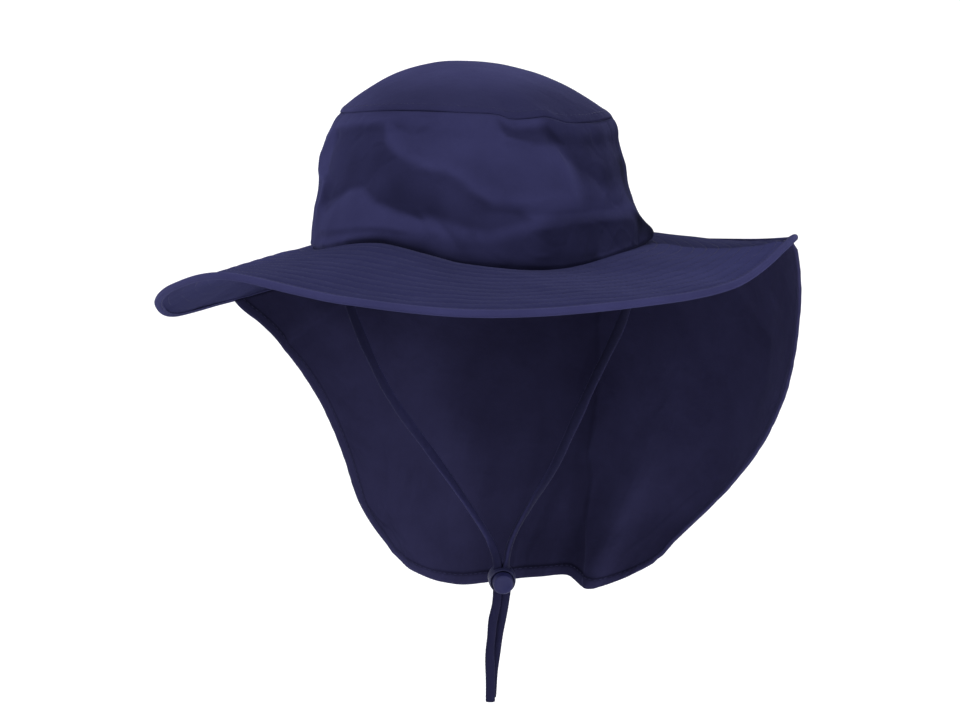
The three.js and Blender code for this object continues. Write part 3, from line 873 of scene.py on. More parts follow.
def round_corner(centre, radius, start, end, count):
    """Points on an arc of a profile, angles in degrees."""
    turns = np.radians(np.linspace(start, end, count + 1))
    return [(centre[0] + radius * math.cos(t), centre[1] + radius * math.sin(t)) for t in turns]


# The slot that the strands pass through, from the lock's middle to each end, and its smoothed edges
SLOT_REACH = CORD_DIAMETER + 2 * GAP
SLOT_EDGE = 0.25
EDGE_ANGLE = math.radians(38)
SHARP_ANGLE = math.radians(40)


def cut_slot(piece, low, high):
    """Cuts the strands' slot through a piece of the lock, from top to bottom, and applies it."""
    half = (high - low) / 2
    middle = (low + high) / 2
    outline = []
    for sign, start in ((1, -90), (-1, 90)):
        outline += round_corner((sign * (SLOT_REACH - half), middle), half, start, start + 180, 10)
    x, y = np.array(outline).T
    n = len(outline)
    reach = np.full(n, 2 * LOCK_RADIUS)
    faces = [[k, (k + 1) % n, n + (k + 1) % n, n + k] for k in range(n)]
    faces.append(list(range(n))[::-1])
    faces.append(list(range(n, 2 * n)))
    cutter = add_mesh("slot_cutter", np.concatenate([at_lock(x, y, -reach), at_lock(x, y, reach)]), faces)
    cut = piece.modifiers.new("slot", "BOOLEAN")
    cut.operation = "DIFFERENCE"
    cut.solver = "EXACT"
    cut.object = cutter
    edge = piece.modifiers.new("edge", "BEVEL")
    edge.width = SLOT_EDGE * MM
    edge.segments = 2
    edge.limit_method = "ANGLE"
    edge.angle_limit = EDGE_ANGLE
    bpy.context.view_layer.update()
    shape = bpy.data.meshes.new_from_object(piece.evaluated_get(bpy.context.evaluated_depsgraph_get()))
    piece.modifiers.clear()
    piece.data = shape
    bpy.data.objects.remove(cutter)
    shape.shade_smooth()
    shape.set_sharp_from_angle(angle=SHARP_ANGLE)


# Radius of a turned piece's small end faces
AXIS = 0.1
# The shell's ball: spans from back to mouth, its flat back, and its radius' power and share of shrinking
# to each end. Its mouth's points are (radius past the bore, along from the mouth).
BALL_STEPS = 22
BALL_BACK = 0.2
BACK_ROUND = (3.2, 0.5)
MOUTH_ROUND = (3, 0.1)
SHELL_MOUTH = [(0.5, -0.05), (0.1, 0.2), (0, 0.7)]
BORE_CORNER = 0.6
SHELL_SIDES = 72
# The button's head: a slightly hollow face, a rounded rim, and a neck, as points (radius, along)
BUTTON_FACE = [(AXIS, 0.5), (2.2, 0.42), (3.4, 0.2), (4.05, 0.02)]
HEAD_RADIUS = 5.7
HEAD_RIM = 1.3
BUTTON_NECK = [(5.7, 2.1), (5.35, 2.5), (5.35, 3), (5.75, 3.5), (5.9, 4)]
FOOT_CORNER = 0.4
BUTTON_SIDES = 64


def make_lock():
    ball = [(AXIS, barrel_back - BALL_BACK)]
    middle = (barrel_mouth + barrel_back) / 2
    half = (barrel_back - barrel_mouth) / 2
    for along in np.linspace(barrel_back - BALL_BACK, barrel_mouth, BALL_STEPS + 1):
        power, shrink = BACK_ROUND if along > middle else MOUTH_ROUND
        share = min(1, abs(along - middle) / half)
        ball.append((LOCK_RADIUS * (1 - share**power * shrink), along))
    ball += [(bore_radius + past, barrel_mouth + along) for past, along in SHELL_MOUTH]
    floor = barrel_back - LOCK_WALL
    ball += [(bore_radius, floor - BORE_CORNER), (bore_radius - BORE_CORNER, floor), (AXIS, floor)]
    barrel = lathe("lock_shell", ball[::-1], SHELL_SIDES, plastic_material("lock_shell", SHELL_NAVY))
    cut_slot(barrel, -strand_half, strand_half)
    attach(barrel, "hat")
    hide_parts("lock_barrel")

    rim = round_corner((HEAD_RADIUS - HEAD_RIM, HEAD_RIM), HEAD_RIM, -80, 0, 7)
    push = [(radius, button_face + along) for radius, along in BUTTON_FACE + rim + BUTTON_NECK]
    foot = strand_half + PLUNGER_FOOT
    push += [(button_radius, foot - FOOT_CORNER), (button_radius - FOOT_CORNER, foot), (AXIS, foot)]
    plastic = plastic_material("lock_button_face", BUTTON_NAVY)
    button = lathe("lock_push_button", push, BUTTON_SIDES, plastic)
    cut_slot(button, -strand_half - BUTTON_TRAVEL, strand_half)
    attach(button, "button")
    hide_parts("lock_button")
    return barrel, button


lock_shell, lock_push_button = make_lock()
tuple(left_path[0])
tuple(right_path[0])

# Crown. Folds are lines of (angle, up) points and their height above the cloth between the seams.
MM_PER_DEGREE = math.pi / 180 * 93
CROWN_FOLDS = [
    ([(-180, 1), (180, 1)], 0), ([(-180, 0), (180, 0)], 0),
    ([(-13, 0.91), (-11, 0.72), (-6, 0.65), (-1, 0.57), (10, 0.59), (14, 0.56), (18, 0.49),
      (22, 0.44)], 2.1),
    ([(26, 0.46), (36, 0.44), (44, 0.48), (52, 0.46)], 1.2),
    ([(-42, 0.9), (-25, 0.92), (-14, 0.92)], 1.3),
    ([(49, 0.78), (51, 0.6), (52, 0.48)], 1.5),
    ([(-40, 0.36), (-25, 0.43), (-20, 0.43), (-13, 0.31), (-4, 0.26), (3, 0.23)], -2.1),
    ([(24, 0.36), (33, 0.36), (60, 0.36), (82, 0.33)], -0.8),
    ([(-40, 0.14), (-22, 0.12), (-3, 0.12)], 0.7),
    ([(-46, 0.87), (-53, 0.7), (-52, 0.59), (-42, 0.5), (-43, 0.37), (-44, 0.3)], 2.1),
    ([(-41, 0.85), (-45, 0.7), (-44, 0.6), (-36, 0.5), (-37, 0.4)], -0.9),
    ([(3, 0.29), (4, 0.24), (6, 0.16)], 0.9),
    ([(8, 0.24), (12, 0.14), (15, 0.04)], -1.7),
    ([(18, 0.18), (16, 0.05)], -1.1),
    ([(19, 0.27), (21, 0.1)], 0.9),
    ([(39, 0.27), (52, 0.3), (68, 0.26), (88, 0.22)], 1.7),
    ([(38, 0.05), (62, 0.04), (92, 0.03)], -0.9),
    ([(47, 0.92), (53, 0.75), (70, 0.53)], -1.1),
    ([(29, 0.92), (33, 0.9), (46, 0.91), (47, 0.88)], -1.5),
    ([(30, 0.86), (37, 0.85), (44, 0.86)], 0.9),
    ([(-7, 0.87), (-3, 0.94)], -0.5), ([(0, 0.85), (5, 0.94)], -0.5),
    ([(-43, 0.09), (-22, 0.07), (-7, 0.07), (1, 0.1)], -0.3),
    ([(92, 0.3), (104, 0.15), (108, 0.08)], 2.6),
    ([(80, 0.85), (92, 0.62), (98, 0.5)], 0.8),
    ([(122, 0.75), (128, 0.5), (140, 0.3)], -1.5), ([(116, 0.6), (122, 0.36), (130, 0.22)], 1.3),
    ([(150, 0.72), (165, 0.58), (185, 0.62)], 1.5), ([(152, 0.45), (172, 0.32), (190, 0.35)], -1.4),
    ([(200, 0.82), (212, 0.6), (222, 0.3)], -1.3), ([(228, 0.75), (240, 0.52), (252, 0.42)], 1.5),
    ([(235, 0.2), (262, 0.3), (280, 0.2)], -1.3), ([(262, 0.9), (272, 0.7), (288, 0.62)], 1.1),
    ([(268, 0.46), (285, 0.36), (300, 0.3)], 0.9),
]
# Where the crown's cloth is painted darker or lighter, as shade and light over its folds: outlines of
# (angle, up) points, their soft border and the change
CROWN_PAINTED_SHADE = [
    ([(-43, 0.88), (-27, 0.91), (-13, 0.91), (-12, 0.78), (-6, 0.66), (2, 0.6), (10, 0.59), (15, 0.54),
      (18, 0.48), (24, 0.42), (33, 0.41), (36, 0.33), (22, 0.22), (8, 0.27), (-4, 0.24), (-13, 0.31),
      (-20, 0.43), (-27, 0.43), (-38, 0.27), (-43, 0.33)], 3, -0.33),
    ([(-8, 0.5), (4, 0.44), (12, 0.34), (22, 0.25), (14, 0.18), (0, 0.22), (-8, 0.34)], 9, -0.14),
    ([(39, 0.28), (59, 0.3), (93, 0.27), (105, 0.15), (95, 0.05), (57, 0.03), (39, 0.06)], 5, -0.1),
    ([(-26, -0.3), (-22, 0), (-8, 0.08), (8, 0.13), (22, 0.18), (36, 0.27), (46, 0.37), (60, 0.34),
      (94, 0.26), (112, 0.2), (112, -0.3)], 5, -0.42),
    ([(-32, -0.4), (-28, 0.02), (-10, 0.05), (30, 0.06), (62, 0.06), (70, -0.4)], 3, -0.25),
    ([(49, 0.92), (55, 0.72), (58, 0.4), (75, 0.34), (105, 0.3), (105, 0.9), (75, 0.92)], 6, -0.24),
    ([(44, 1.1), (47, 0.84), (58, 0.6), (74, 0.5), (112, 0.55), (112, 1.1)], 7, -0.28),
    ([(90, 0.7), (94, 0.3), (94, 0.1), (130, 0), (130, 0.7)], 5, -0.4),
    ([(27, 0.97), (35, 0.95), (47, 0.96), (53, 0.85), (40, 0.84), (30, 0.88)], 2, -0.3),
    ([(-46, 0.88), (-54, 0.7), (-53, 0.6), (-41, 0.5), (-43, 0.37), (-45, 0.29), (-47, 0.3), (-46, 0.38),
      (-44, 0.5), (-56, 0.6), (-57, 0.71), (-49, 0.88)], 1.2, 0.25),
    ([(-60, 1.1), (110, 1.1), (110, 0.85), (49, 0.85), (51, 0.5), (28, 0.47), (14, 0.62), (-4, 0.68),
      (-12, 0.93), (-60, 0.93)], 6, -0.16),
    ([(-30, 0.72), (60, 0.72), (60, 0.2), (-30, 0.2)], 16, -0.08),
]
# The tip's painted light and shade: painted darker low down, lighter to the left and darker to the right
TIP_PAINTED_SHADE = -0.34
TIP_LEFT = 0.42
TIP_RIGHT = -0.2
# The tip seam's small waves: (angle, height)
SEAM_WAVES = table("angle height", [
    (-180, 0.5), (-140, -0.6), (-100, 0.5), (-60, 0), (-9, 0), (16, 0.1), (27, 0.3), (32, -1.3), (40, -0.3),
    (47, 0.9), (57, -1), (70, -0.5), (84, 0.4), (100, 0.9), (118, -0.4), (150, 0.6),
])
# Unevenness of side and tip: height, seed and size
SIDE_UNEVEN = [(0.35, 3, 26), (0.12, 4, 9)]
TIP_UNEVEN = [(0.25, 7, 30), (0.08, 8, 10)]
CROWN_CRUMPLE = 0.5
# How uneven the crown's painted shade is
PAINTED_SHADE_RIPPLE = 0.07
# Heights of the gathers beside the seams, and how far from a seam its cloth is held
TIP_GATHER = 0.4
SEAM_GATHER = 0.45
FOOT_GATHER = 0.4
SEAM_HELD = 2.5
TIP_HELD = 3
# Height, place and width of the shallow dent below the tip seam, of the rolled seams and of the
# turnings that lift the cloth beside them
SHOULDER_DENT = (1.7, 0.84, 0.12)
SEAM_ROLL = (0.55, 0, 0.9)
FOOT_ROLL = (1, 0, 1)
SEAM_TURNING = (0.12, 3.2, 1.8)
FOOT_TURNING = (0.25, 2.8, 1.5)
TIP_TURNING = (0.12, 3, 1.7)
# How far up and down the tip seam's waves reach
SEAM_WAVE_REACH = 8
# How far the tip seam and the foot reach up and down into what they are sewn to
SEAM_REACH = 0.5
FOOT_REACH = 0.55
SIDE_COLUMNS = 400
TIP_COLUMNS = 360
# From the tip seam to the tip's middle, to its last row of points and to its row of stitches
TIP_SPAN = 80
TIP_LAST = 76
TIP_STITCH = 3.6


def round_grid(columns, lines):
    """Angles and a second coordinate at each point of a grid that goes round the hat."""
    return np.meshgrid(np.arange(columns) * 360 / columns - 180, lines, indexing="ij")


# Gathers: how far each is off its even place and how wide it is, in shares of their spacing, and how
# far it reaches, in shares of their reach
GATHER_SHIFT = 0.35
GATHER_WIDTH = (0.18, 0.34)
GATHER_REACH = (0.5, 1.4)


def pucker(seed, u, gap_to_seam, spacing, reach, length):
    """Short gathers that start at a seam: uneven ribs along u that fade away from it."""
    draw = np.random.default_rng(seed)
    count = int(length / spacing)
    total = np.zeros(np.broadcast(u, gap_to_seam).shape)
    for k in range(count):
        place = (k + draw.uniform(-GATHER_SHIFT, GATHER_SHIFT)) * length / count
        wide = spacing * draw.uniform(*GATHER_WIDTH)
        tall = reach * draw.uniform(*GATHER_REACH)
        height = draw.uniform(-1, 1)
        away = np.mod(u - place + length / 2, length) - length / 2
        total += height * bell(away / wide) * bell(gap_to_seam / tall)
    return total


def make_crown():
    cloth = cloth_material("crown_microfibre", NAVY)
    length = CROWN_HEIGHT
    near_seam = length - np.array([4.8, 3.7, 2.7, 1.8, 1.1, 0.5, 0])
    rise = marks(0, 0.5, 1.1, 1.8, 2.6, 3.4, 4.4, to=length - 6, step=1.25)
    rise = np.concatenate([rise, near_seam])
    if len(rise) % 2 == 0:
        rise = np.delete(rise, len(rise) // 2)
    angle, up = round_grid(SIDE_COLUMNS, rise / length)
    base = crown_side(angle, up)
    n = normals(base, True)
    u, v = (angle + 180) * MM_PER_DEGREE, up * length
    away = length - v
    around = 360 * MM_PER_DEGREE
    flat = (MM_PER_DEGREE, length, -180)
    lines = [(laid_flat(points, *flat), height) for points, height in CROWN_FOLDS]
    relief = uneven(u, v, SIDE_UNEVEN) + drape(u, v, lines, around)
    relief = relief - bulge(up, *SHOULDER_DENT) + crumple(43, u, v, CROWN_CRUMPLE)
    relief = relief + SEAM_GATHER * pucker(5, u, away, spacing=9, reach=7, length=around)
    relief = relief + FOOT_GATHER * pucker(6, u, v, spacing=8, reach=6, length=around)
    relief = relief * step_up(v, 0, SEAM_HELD) * step_up(away, 0, SEAM_HELD)
    relief = relief + bulge(away, *SEAM_TURNING) - bulge(away, *SEAM_ROLL)
    relief = relief + bulge(v, *FOOT_TURNING) - bulge(v, *FOOT_ROLL)
    # Painted light and shade over the crown's folds, a little uneven
    painted_shade = patches(u, v, CROWN_PAINTED_SHADE, *flat) * (1 + PAINTED_SHADE_RIPPLE * ripples(41, u, v, 12))
    front, back = wall(base, n, CROWN_WALL / 2, CROWN_WALL / 2, relief)
    seam_wave = smooth(*SEAM_WAVES.values(), 360)
    for grid in (front, back):
        grid[..., 2] += seam_wave(angle) * bell(away / SEAM_WAVE_REACH)
        grid[:, -1, 2] += SEAM_REACH
        grid[:, 0, 2] -= FOOT_REACH
    side = shell("crown_side_cloth", front, back, np.stack([u, v], -1), cloth, ring=True, painted_shade=painted_shade)

    rows = marks(0, 0.5, 1.1, 1.8, 2.7, TIP_STITCH, to=TIP_LAST, step=1.45)
    angle, inwards = round_grid(TIP_COLUMNS, rows / TIP_SPAN)
    base = crown_tip(angle, inwards)
    n = normals(base, True)
    away = inwards * TIP_SPAN
    rise = (base[..., 2] - CROWN_HEIGHT) / DOME_RISE
    x, y = base[..., 0], base[..., 1]
    gather = pucker(9, (angle + 180) * MM_PER_DEGREE, away, spacing=9, reach=7, length=around)
    relief = uneven(x, y, TIP_UNEVEN) + TIP_GATHER * gather * step_up(away, 0, TIP_HELD)
    relief = relief + bulge(away, *TIP_TURNING) - bulge(away, *SEAM_ROLL)
    front, back = wall(base, n, CROWN_WALL / 2, CROWN_WALL / 2, relief)
    for grid in (front, back):
        grid[..., 2] += seam_wave(angle) * bell(away / SEAM_WAVE_REACH)
    # Painted shade on the tip: darker near the seam and to the right, lighter to the left
    painted_shade = TIP_PAINTED_SHADE * (1 - step_up(rise, 0.35, 0.9)) + TIP_LEFT * step_up(-x, 20, 80)
    painted_shade = painted_shade + TIP_RIGHT * step_up(x, 30, 75) * (1 - step_up(rise, 0.3, 0.8))
    middle = front[:, -1].mean(0)
    apex = [middle + [0, 0, 0.1], middle - [0, 0, CROWN_WALL]]
    tip = shell("crown_tip_cloth", front, back, np.stack([x, y], -1), cloth, ring=True, apex=apex, painted_shade=painted_shade)
    row = int(np.argmin(np.abs(away[0] - TIP_STITCH)))
    sewn = stitches("crown_tip_stitches", [(front[:, row], n[:, row], True)])
    for piece in (side, tip, sewn):
        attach(piece, "hat")
    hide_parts("crown_side")
    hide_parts("crown_tip")


make_crown()

# Brim: rows of topstitching round it, in shares of its width, with the cloth puffed up between them
BRIM_COLUMNS = 720
BRIM_ROWS = 11
FIRST_ROW = 0.1
LAST_ROW = 0.93
ROW_GROOVE = 0.19
GROOVE_WIDTH = 0.55
ROW_PUFF = 0.1
# Lines of points at each row, in shares of the gap between rows, and across the lap and the edge
ROW_MARKS = (-0.09, 0, 0.09, 0.3, 0.5, 0.7)
LAP_MARKS = [0, 0.025, 0.05, 0.075]
EDGE_MARKS = [0.96, 0.975, 0.99]
SPARE_MARK = 0.968
# How much the rows' depth varies, its seed and size, and the depth's share on the underside
ROW_VARIES = (0.35, 11, 9)
UNDERSIDE = 0.9
BRIM_UNEVEN = [(0.3, 12, 30), (0.1, 13, 10)]
# Stretches over which waves and folds start beside the lap and end before the edge
WAVE_START = (0.05, 0.14)
FOLD_START = (0.07, 0.2)
FOLD_END = (0.02, 0.08)
# The brim's inner edge reaches this much further in below the crown's foot
BRIM_REACH = 1.8
BRIM_MM_PER_DEGREE = math.pi / 180 * 135
# Folds are lines of (angle, out) points, with their widths to both sides and their height
BRIM_FOLDS = [
    ([(109, 0.1), (105, 0.2), (102, 0.32), (100, 0.5), (94, 0.66), (88, 0.8), (88, 0.97)], 16, 4, 1.9),
    ([(113, 0.1), (109, 0.25), (106, 0.5), (100, 0.7), (94, 0.9)], 5, 12, -1.2),
    ([(-62, 0.2), (-66, 0.6), (-70, 0.97)], 12, 14, 0.9),
    ([(-100, 0.2), (-98, 0.6), (-95, 0.95)], 14, 10, -0.8),
    ([(160, 0.2), (164, 0.6), (166, 0.95)], 14, 10, 1.0),
    ([(-150, 0.2), (-148, 0.6), (-145, 0.95)], 12, 14, 0.9),
    ([(30, 0.3), (36, 0.6), (38, 0.95)], 16, 20, 0.5),
]
# Painted shade and light beside a fold line, over widths to each side, and painted light at (angle, out)
# places
BRIM_PAINTED_SHADE = [
    (BRIM_FOLDS[0][0], 1.2, 50, -0.5),
    (BRIM_FOLDS[0][0], 70, 1.2, 0.42),
]
BRIM_PAINTED_LIGHT = table("angle out wide tall change", [
    (-56, 0.4, 18, 0.35, 0.6), (-72, 0.15, 14, 0.2, 0.5), (70, 0.7, 22, 0.4, 0.16),
])


def make_brim():
    cloth = cloth_material("brim_microfibre", BRIM_NAVY, puckers=0.4)
    row_at = np.linspace(FIRST_ROW, LAST_ROW, BRIM_ROWS)
    gap = row_at[1] - row_at[0]
    outs = LAP_MARKS + [place + mark * gap for place in row_at for mark in ROW_MARKS]
    outs = [o for o in outs if o < LAST_ROW + ROW_MARKS[3] * gap / 2] + EDGE_MARKS
    if len(outs) % 2 == 0:
        outs.insert(-2, SPARE_MARK)
    outs = np.array(outs)
    angle, out = round_grid(BRIM_COLUMNS, outs)
    base = brim(angle, out)
    n = -normals(base, True)
    x, y = base[..., 0], base[..., 1]
    nearest = np.min(np.abs(outs[:, None] - row_at[None]), 1)
    puffed = np.sin(np.clip(nearest / gap, 0, 0.5) * math.pi) * ROW_PUFF
    inside = (outs > FIRST_ROW - gap) & (outs < LAST_ROW + gap)
    rows = np.where(inside, puffed - ROW_GROOVE * bell(nearest * BRIM_WIDTH / GROOVE_WIDTH), 0)[None]
    height, seed, size = ROW_VARIES
    u, v = (angle + 180) * MM_PER_DEGREE * (1 + out), out * BRIM_WIDTH * 2
    rows = rows * (1 + height * ripples(seed, u, v, size))
    flat = (BRIM_MM_PER_DEGREE, BRIM_WIDTH, -180)
    across, along = (angle + 180) * BRIM_MM_PER_DEGREE, out * BRIM_WIDTH
    held = step_up(out, *FOLD_START) * step_up(1 - out, *FOLD_END)
    wave = uneven(x, y, BRIM_UNEVEN) * step_up(out, *WAVE_START)
    wave = wave + fold_lines(across, along, BRIM_FOLDS, *flat) * held
    # Painted shade and light along the fold, and painted light on the brim's left
    painted_shade = fold_lines(across, along, BRIM_PAINTED_SHADE, *flat)
    for a, o, wide, tall, change in zip(*BRIM_PAINTED_LIGHT.values()):
        painted_shade = painted_shade + change * bell(turn_between(angle, a) / wide) * bell((out - o) / tall)
    front, back = wall(base, n, BRIM_WALL / 2 + rows, BRIM_WALL / 2 + rows * UNDERSIDE, wave)
    for grid in (front, back):
        grid[:, 0, :2] *= (1 - BRIM_REACH / np.hypot(x[:, 0], y[:, 0]))[:, None]
    brim_cloth = shell("brim_cloth", front, back, np.stack([x, y], -1), cloth, ring=True,
                       turned=True, painted_shade=painted_shade)
    at_rows = [int(np.argmin(np.abs(outs - place))) for place in row_at]
    top = stitches("brim_topstitches", [(front[:, r], n[:, r], True) for r in at_rows])
    under = stitches("brim_understitches", [(back[:, r], -n[:, r], True) for r in at_rows])
    for piece in (brim_cloth, top, under):
        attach(piece, "hat")
    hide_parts("brim")


make_brim()

# Edge tape: a strip folded over the brim's edge, sewn near its inner edges. Its upper half is a line
# of points from its inner edge on: how far past that, and how far below its full height TAPE_HALF.
TAPE_HALF = 1.75
TAPE_BACK = 3.1
TAPE_NOSE = 1.0
TAPE_BEND = 0.6
TAPE_SLOT = BRIM_WALL / 2 + 0.1
TAPE_TOP = [(0.1, 0.25), (0.5, 0.12), (0.9, 0.3), (1.3, 0.08), (1.7, -0.0336), (2.3, -0.0384)]
# Its painted light and shade at the first points of the upper half: painted shade at the fold at its inner
# edge and at the seam, and a painted highlight along its top
# TAPE_PAINTED_SHADE = (-0.4, -0.2, 0.15, 0, -0.45, -0.1, 0.1, 0.1, 0.1)
TAPE_PAINTED_SHADE = (-0.4, -0.2, 0.15, 0, -0.45, -0.1, 0.1, 0.1, 0.1)
# The point of its seam, and how far it drifts in and out along the brim: height, seed and size
TAPE_SEAM = 4
TAPE_DRIFT = (0.12, 21, 14)


def make_tape():
    cloth = cloth_material("tape_microfibre", NAVY, puckers=0.3)
    angle = np.arange(BRIM_COLUMNS) * 360 / BRIM_COLUMNS - 180
    edge = brim(angle, np.ones(BRIM_COLUMNS))
    outwards = unit(edge - brim(angle, np.full(BRIM_COLUMNS, 0.95)))
    normal = -unit(np.cross(np.roll(edge, -1, 0) - np.roll(edge, 1, 0), outwards))
    upper = [(-TAPE_BACK, TAPE_SLOT), (-TAPE_BACK - 0.15, TAPE_SLOT + 0.35)]
    upper += [(-TAPE_BACK + past, TAPE_HALF - below) for past, below in TAPE_TOP]
    arc = np.radians(np.linspace(80, -80, 11))
    nose = [((TAPE_NOSE + TAPE_BEND) * math.cos(t) - TAPE_BEND, TAPE_HALF * math.sin(t)) for t in arc]
    profile = upper + nose + [(x, -y) for x, y in upper[::-1]] + [(0.15, -TAPE_SLOT), (0.15, TAPE_SLOT)]
    profile = np.array(profile)
    count = len(profile)
    height, seed, size = TAPE_DRIFT
    drift = height * ripples(seed, np.arange(BRIM_COLUMNS) * 1.6, 0, size)[:, None]
    across, high = profile[:, 0][None] + drift, profile[:, 1][None] * (1 + 0.05 * drift)
    points = edge[:, None] + across[..., None] * outwards[:, None] + high[..., None] * normal[:, None]

    def at(i, j):
        return (i % BRIM_COLUMNS) * count + j % count

    faces = grid_faces(at, BRIM_COLUMNS, count + 1, True, False)
    uv = np.stack(np.meshgrid(run_along(edge), run_along(profile), indexing="ij"), -1)
    tape = add_mesh("brim_edge_tape_cloth", points.reshape(-1, 3), faces, uv.reshape(-1, 2), cloth)
    # Painted shade at the tape's inner fold and seam, painted highlight on its top
    painted_shade = np.zeros(count)
    painted_shade[: len(TAPE_PAINTED_SHADE)] = TAPE_PAINTED_SHADE
    set_painted_shade(tape, np.tile(painted_shade, BRIM_COLUMNS))
    lines = [(points[:, TAPE_SEAM], normal, True), (points[:, count - 3 - TAPE_SEAM], -normal, True)]
    sewn = stitches("edge_tape_stitches", lines, pitch=3, length=2.3)
    for piece in (tape, sewn):
        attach(piece, "hat")
    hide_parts("brim_edge_tape")


make_tape()

# Neck flap. Folds are lines of (across, down) points: spread to each side, and height outwards.
FLAP_SPAN = 480
FLAP_CREASES = [
    ([(-0.02, 0.21), (0.038, 0.16), (0.093, 0.13), (0.14, 0.1), (0.2, 0.06)], 12, 4, 2.8),
    ([(0.541, 0.24), (0.551, 0.53), (0.554, 0.62), (0.581, 0.71), (0.609, 0.83), (0.682, 0.97),
      (0.7, 1)], 2.6, 30, -2.6),
    ([(0.2, 0.15), (0.15, 0.5), (0.06, 0.9)], 16, 20, -1.8),
    ([(0.757, 0.1), (0.82, 0.19), (0.885, 0.28), (0.9, 0.4)], 12, 7, 1.7),
    ([(0.82, 0.05), (0.87, 0.13), (0.93, 0.2)], 10, 10, -1.1),
    ([(0.025, 0.77), (0.055, 0.84)], 3, 4, 0.9),
    ([(0.33, 0.1), (0.35, 0.5), (0.33, 0.95)], 16, 16, 1.4),
    ([(0.45, 0.3), (0.46, 0.7), (0.43, 1)], 10, 18, -1.2),
    ([(0.8, 0.6), (0.78, 0.8), (0.74, 1)], 12, 12, 0.9),
    ([(0.86, 0.75), (0.8, 0.86), (0.76, 0.9)], 4, 7, -0.8),
]
# Where the flap is painted darker, as shade under the brim and in its folds, and one place painted lighter:
# outlines of (across, down) points, their soft border, the change
FLAP_PAINTED_SHADE = [
    ([(-0.02, 0), (-0.02, 0.2), (0.038, 0.16), (0.093, 0.13), (0.14, 0.1), (0.2, 0.06), (0.25, 0)],
     1.5, -0.28),
    ([(0.25, -0.1), (0.72, -0.1), (0.64, 0.25), (0.58, 0.6), (0.63, 0.8), (0.7, 1), (0.36, 1),
      (0.28, 0.5)], 28, -0.22),
    ([(0.541, 0.24), (0.551, 0.53), (0.554, 0.62), (0.581, 0.71), (0.609, 0.83), (0.682, 0.97),
      (0.64, 0.98), (0.56, 0.83), (0.525, 0.62), (0.51, 0.4)], 1.6, -0.07),
    ([(0.1, -0.1), (0.12, 0.1), (0.15, 0.2), (0.2, 0.26), (0.26, 0.2), (0.28, -0.1)], 12, -0.26),
    ([(0.56, 0.1), (0.58, 0.55), (0.66, 0.72), (0.74, 0.8), (0.84, 0.86), (1.1, 1), (1.1, -0.1),
      (0.7, -0.1)], 22, 0.18),
    ([(0.66, 0.84), (0.78, 0.8), (0.92, 0.86), (0.9, 1.1), (0.68, 1.1)], 10, -0.18),
    ([(0.2, 1.1), (0.2, 0.86), (0.5, 0.84), (0.62, 0.93), (0.68, 1.1)], 26, -0.22),
]
# The hem: its width, its stitch line, rows of points from the flap's edge on, how thick it lies on the
# inner and the outer side, how deep the thread sinks in, and that depth's share on the outer side
HEM_WIDTH = 7.6
HEM_STITCH = 6.6
HEM_MARKS = np.array([0, 0.15, 0.45, 0.9, 2.2, 3.8, 5.4, 6.1, HEM_STITCH, 7.1, HEM_WIDTH, 8.2, 9.4])
HEM_LIFT = 0.8
HEM_OUTER = 0.15
HEM_GROOVE = (0.55, HEM_STITCH, 0.6)
HEM_GATHER = 0.28
OUTER_GROOVE = 0.6
EDGE_ROUND = 0.9
# Its painted light and shade: painted lighter than the flap, with a painted shade line beside the stitches
HEM_PAINTED_LIGHT = 0.1
HEM_LINE_PAINTED_SHADE = (-0.42, HEM_STITCH + 0.5, 0.9)
# Points across and down the flap, and its unevenness
FLAP_COLUMNS = 231
FLAP_ROWS = 121
FLAP_UNEVEN = [(0.6, 31, 38), (0.15, 32, 12)]
FLAP_CRUMPLE = 0.3
# Stretches over which its relief starts below the brim, and in millimetres beside its sides
FLAP_START = (0, 0.08)
SIDE_START = (-6, 14)
# The upper right corner bulges outwards: its height, and where it starts, fades and ends at the side
CORNER_PUFF = 1.8
PUFF_TOP = (0.004, 0.03)
PUFF_DROP = 0.16
PUFF_SIDE = (0.86, 0.97)
# Corners pulled along the cloth: place, a place to pull towards, how far and over what reach
FLAP_CORNERS = [
    ((0.0, 1.0), (0.08, 0.92), 2.4, 13),
    ((1.0, 1.0), (0.92, 0.92), 2.0, 13),
    ((0.0, 0.02), (0.06, 0.02), -4.5, 14),
]


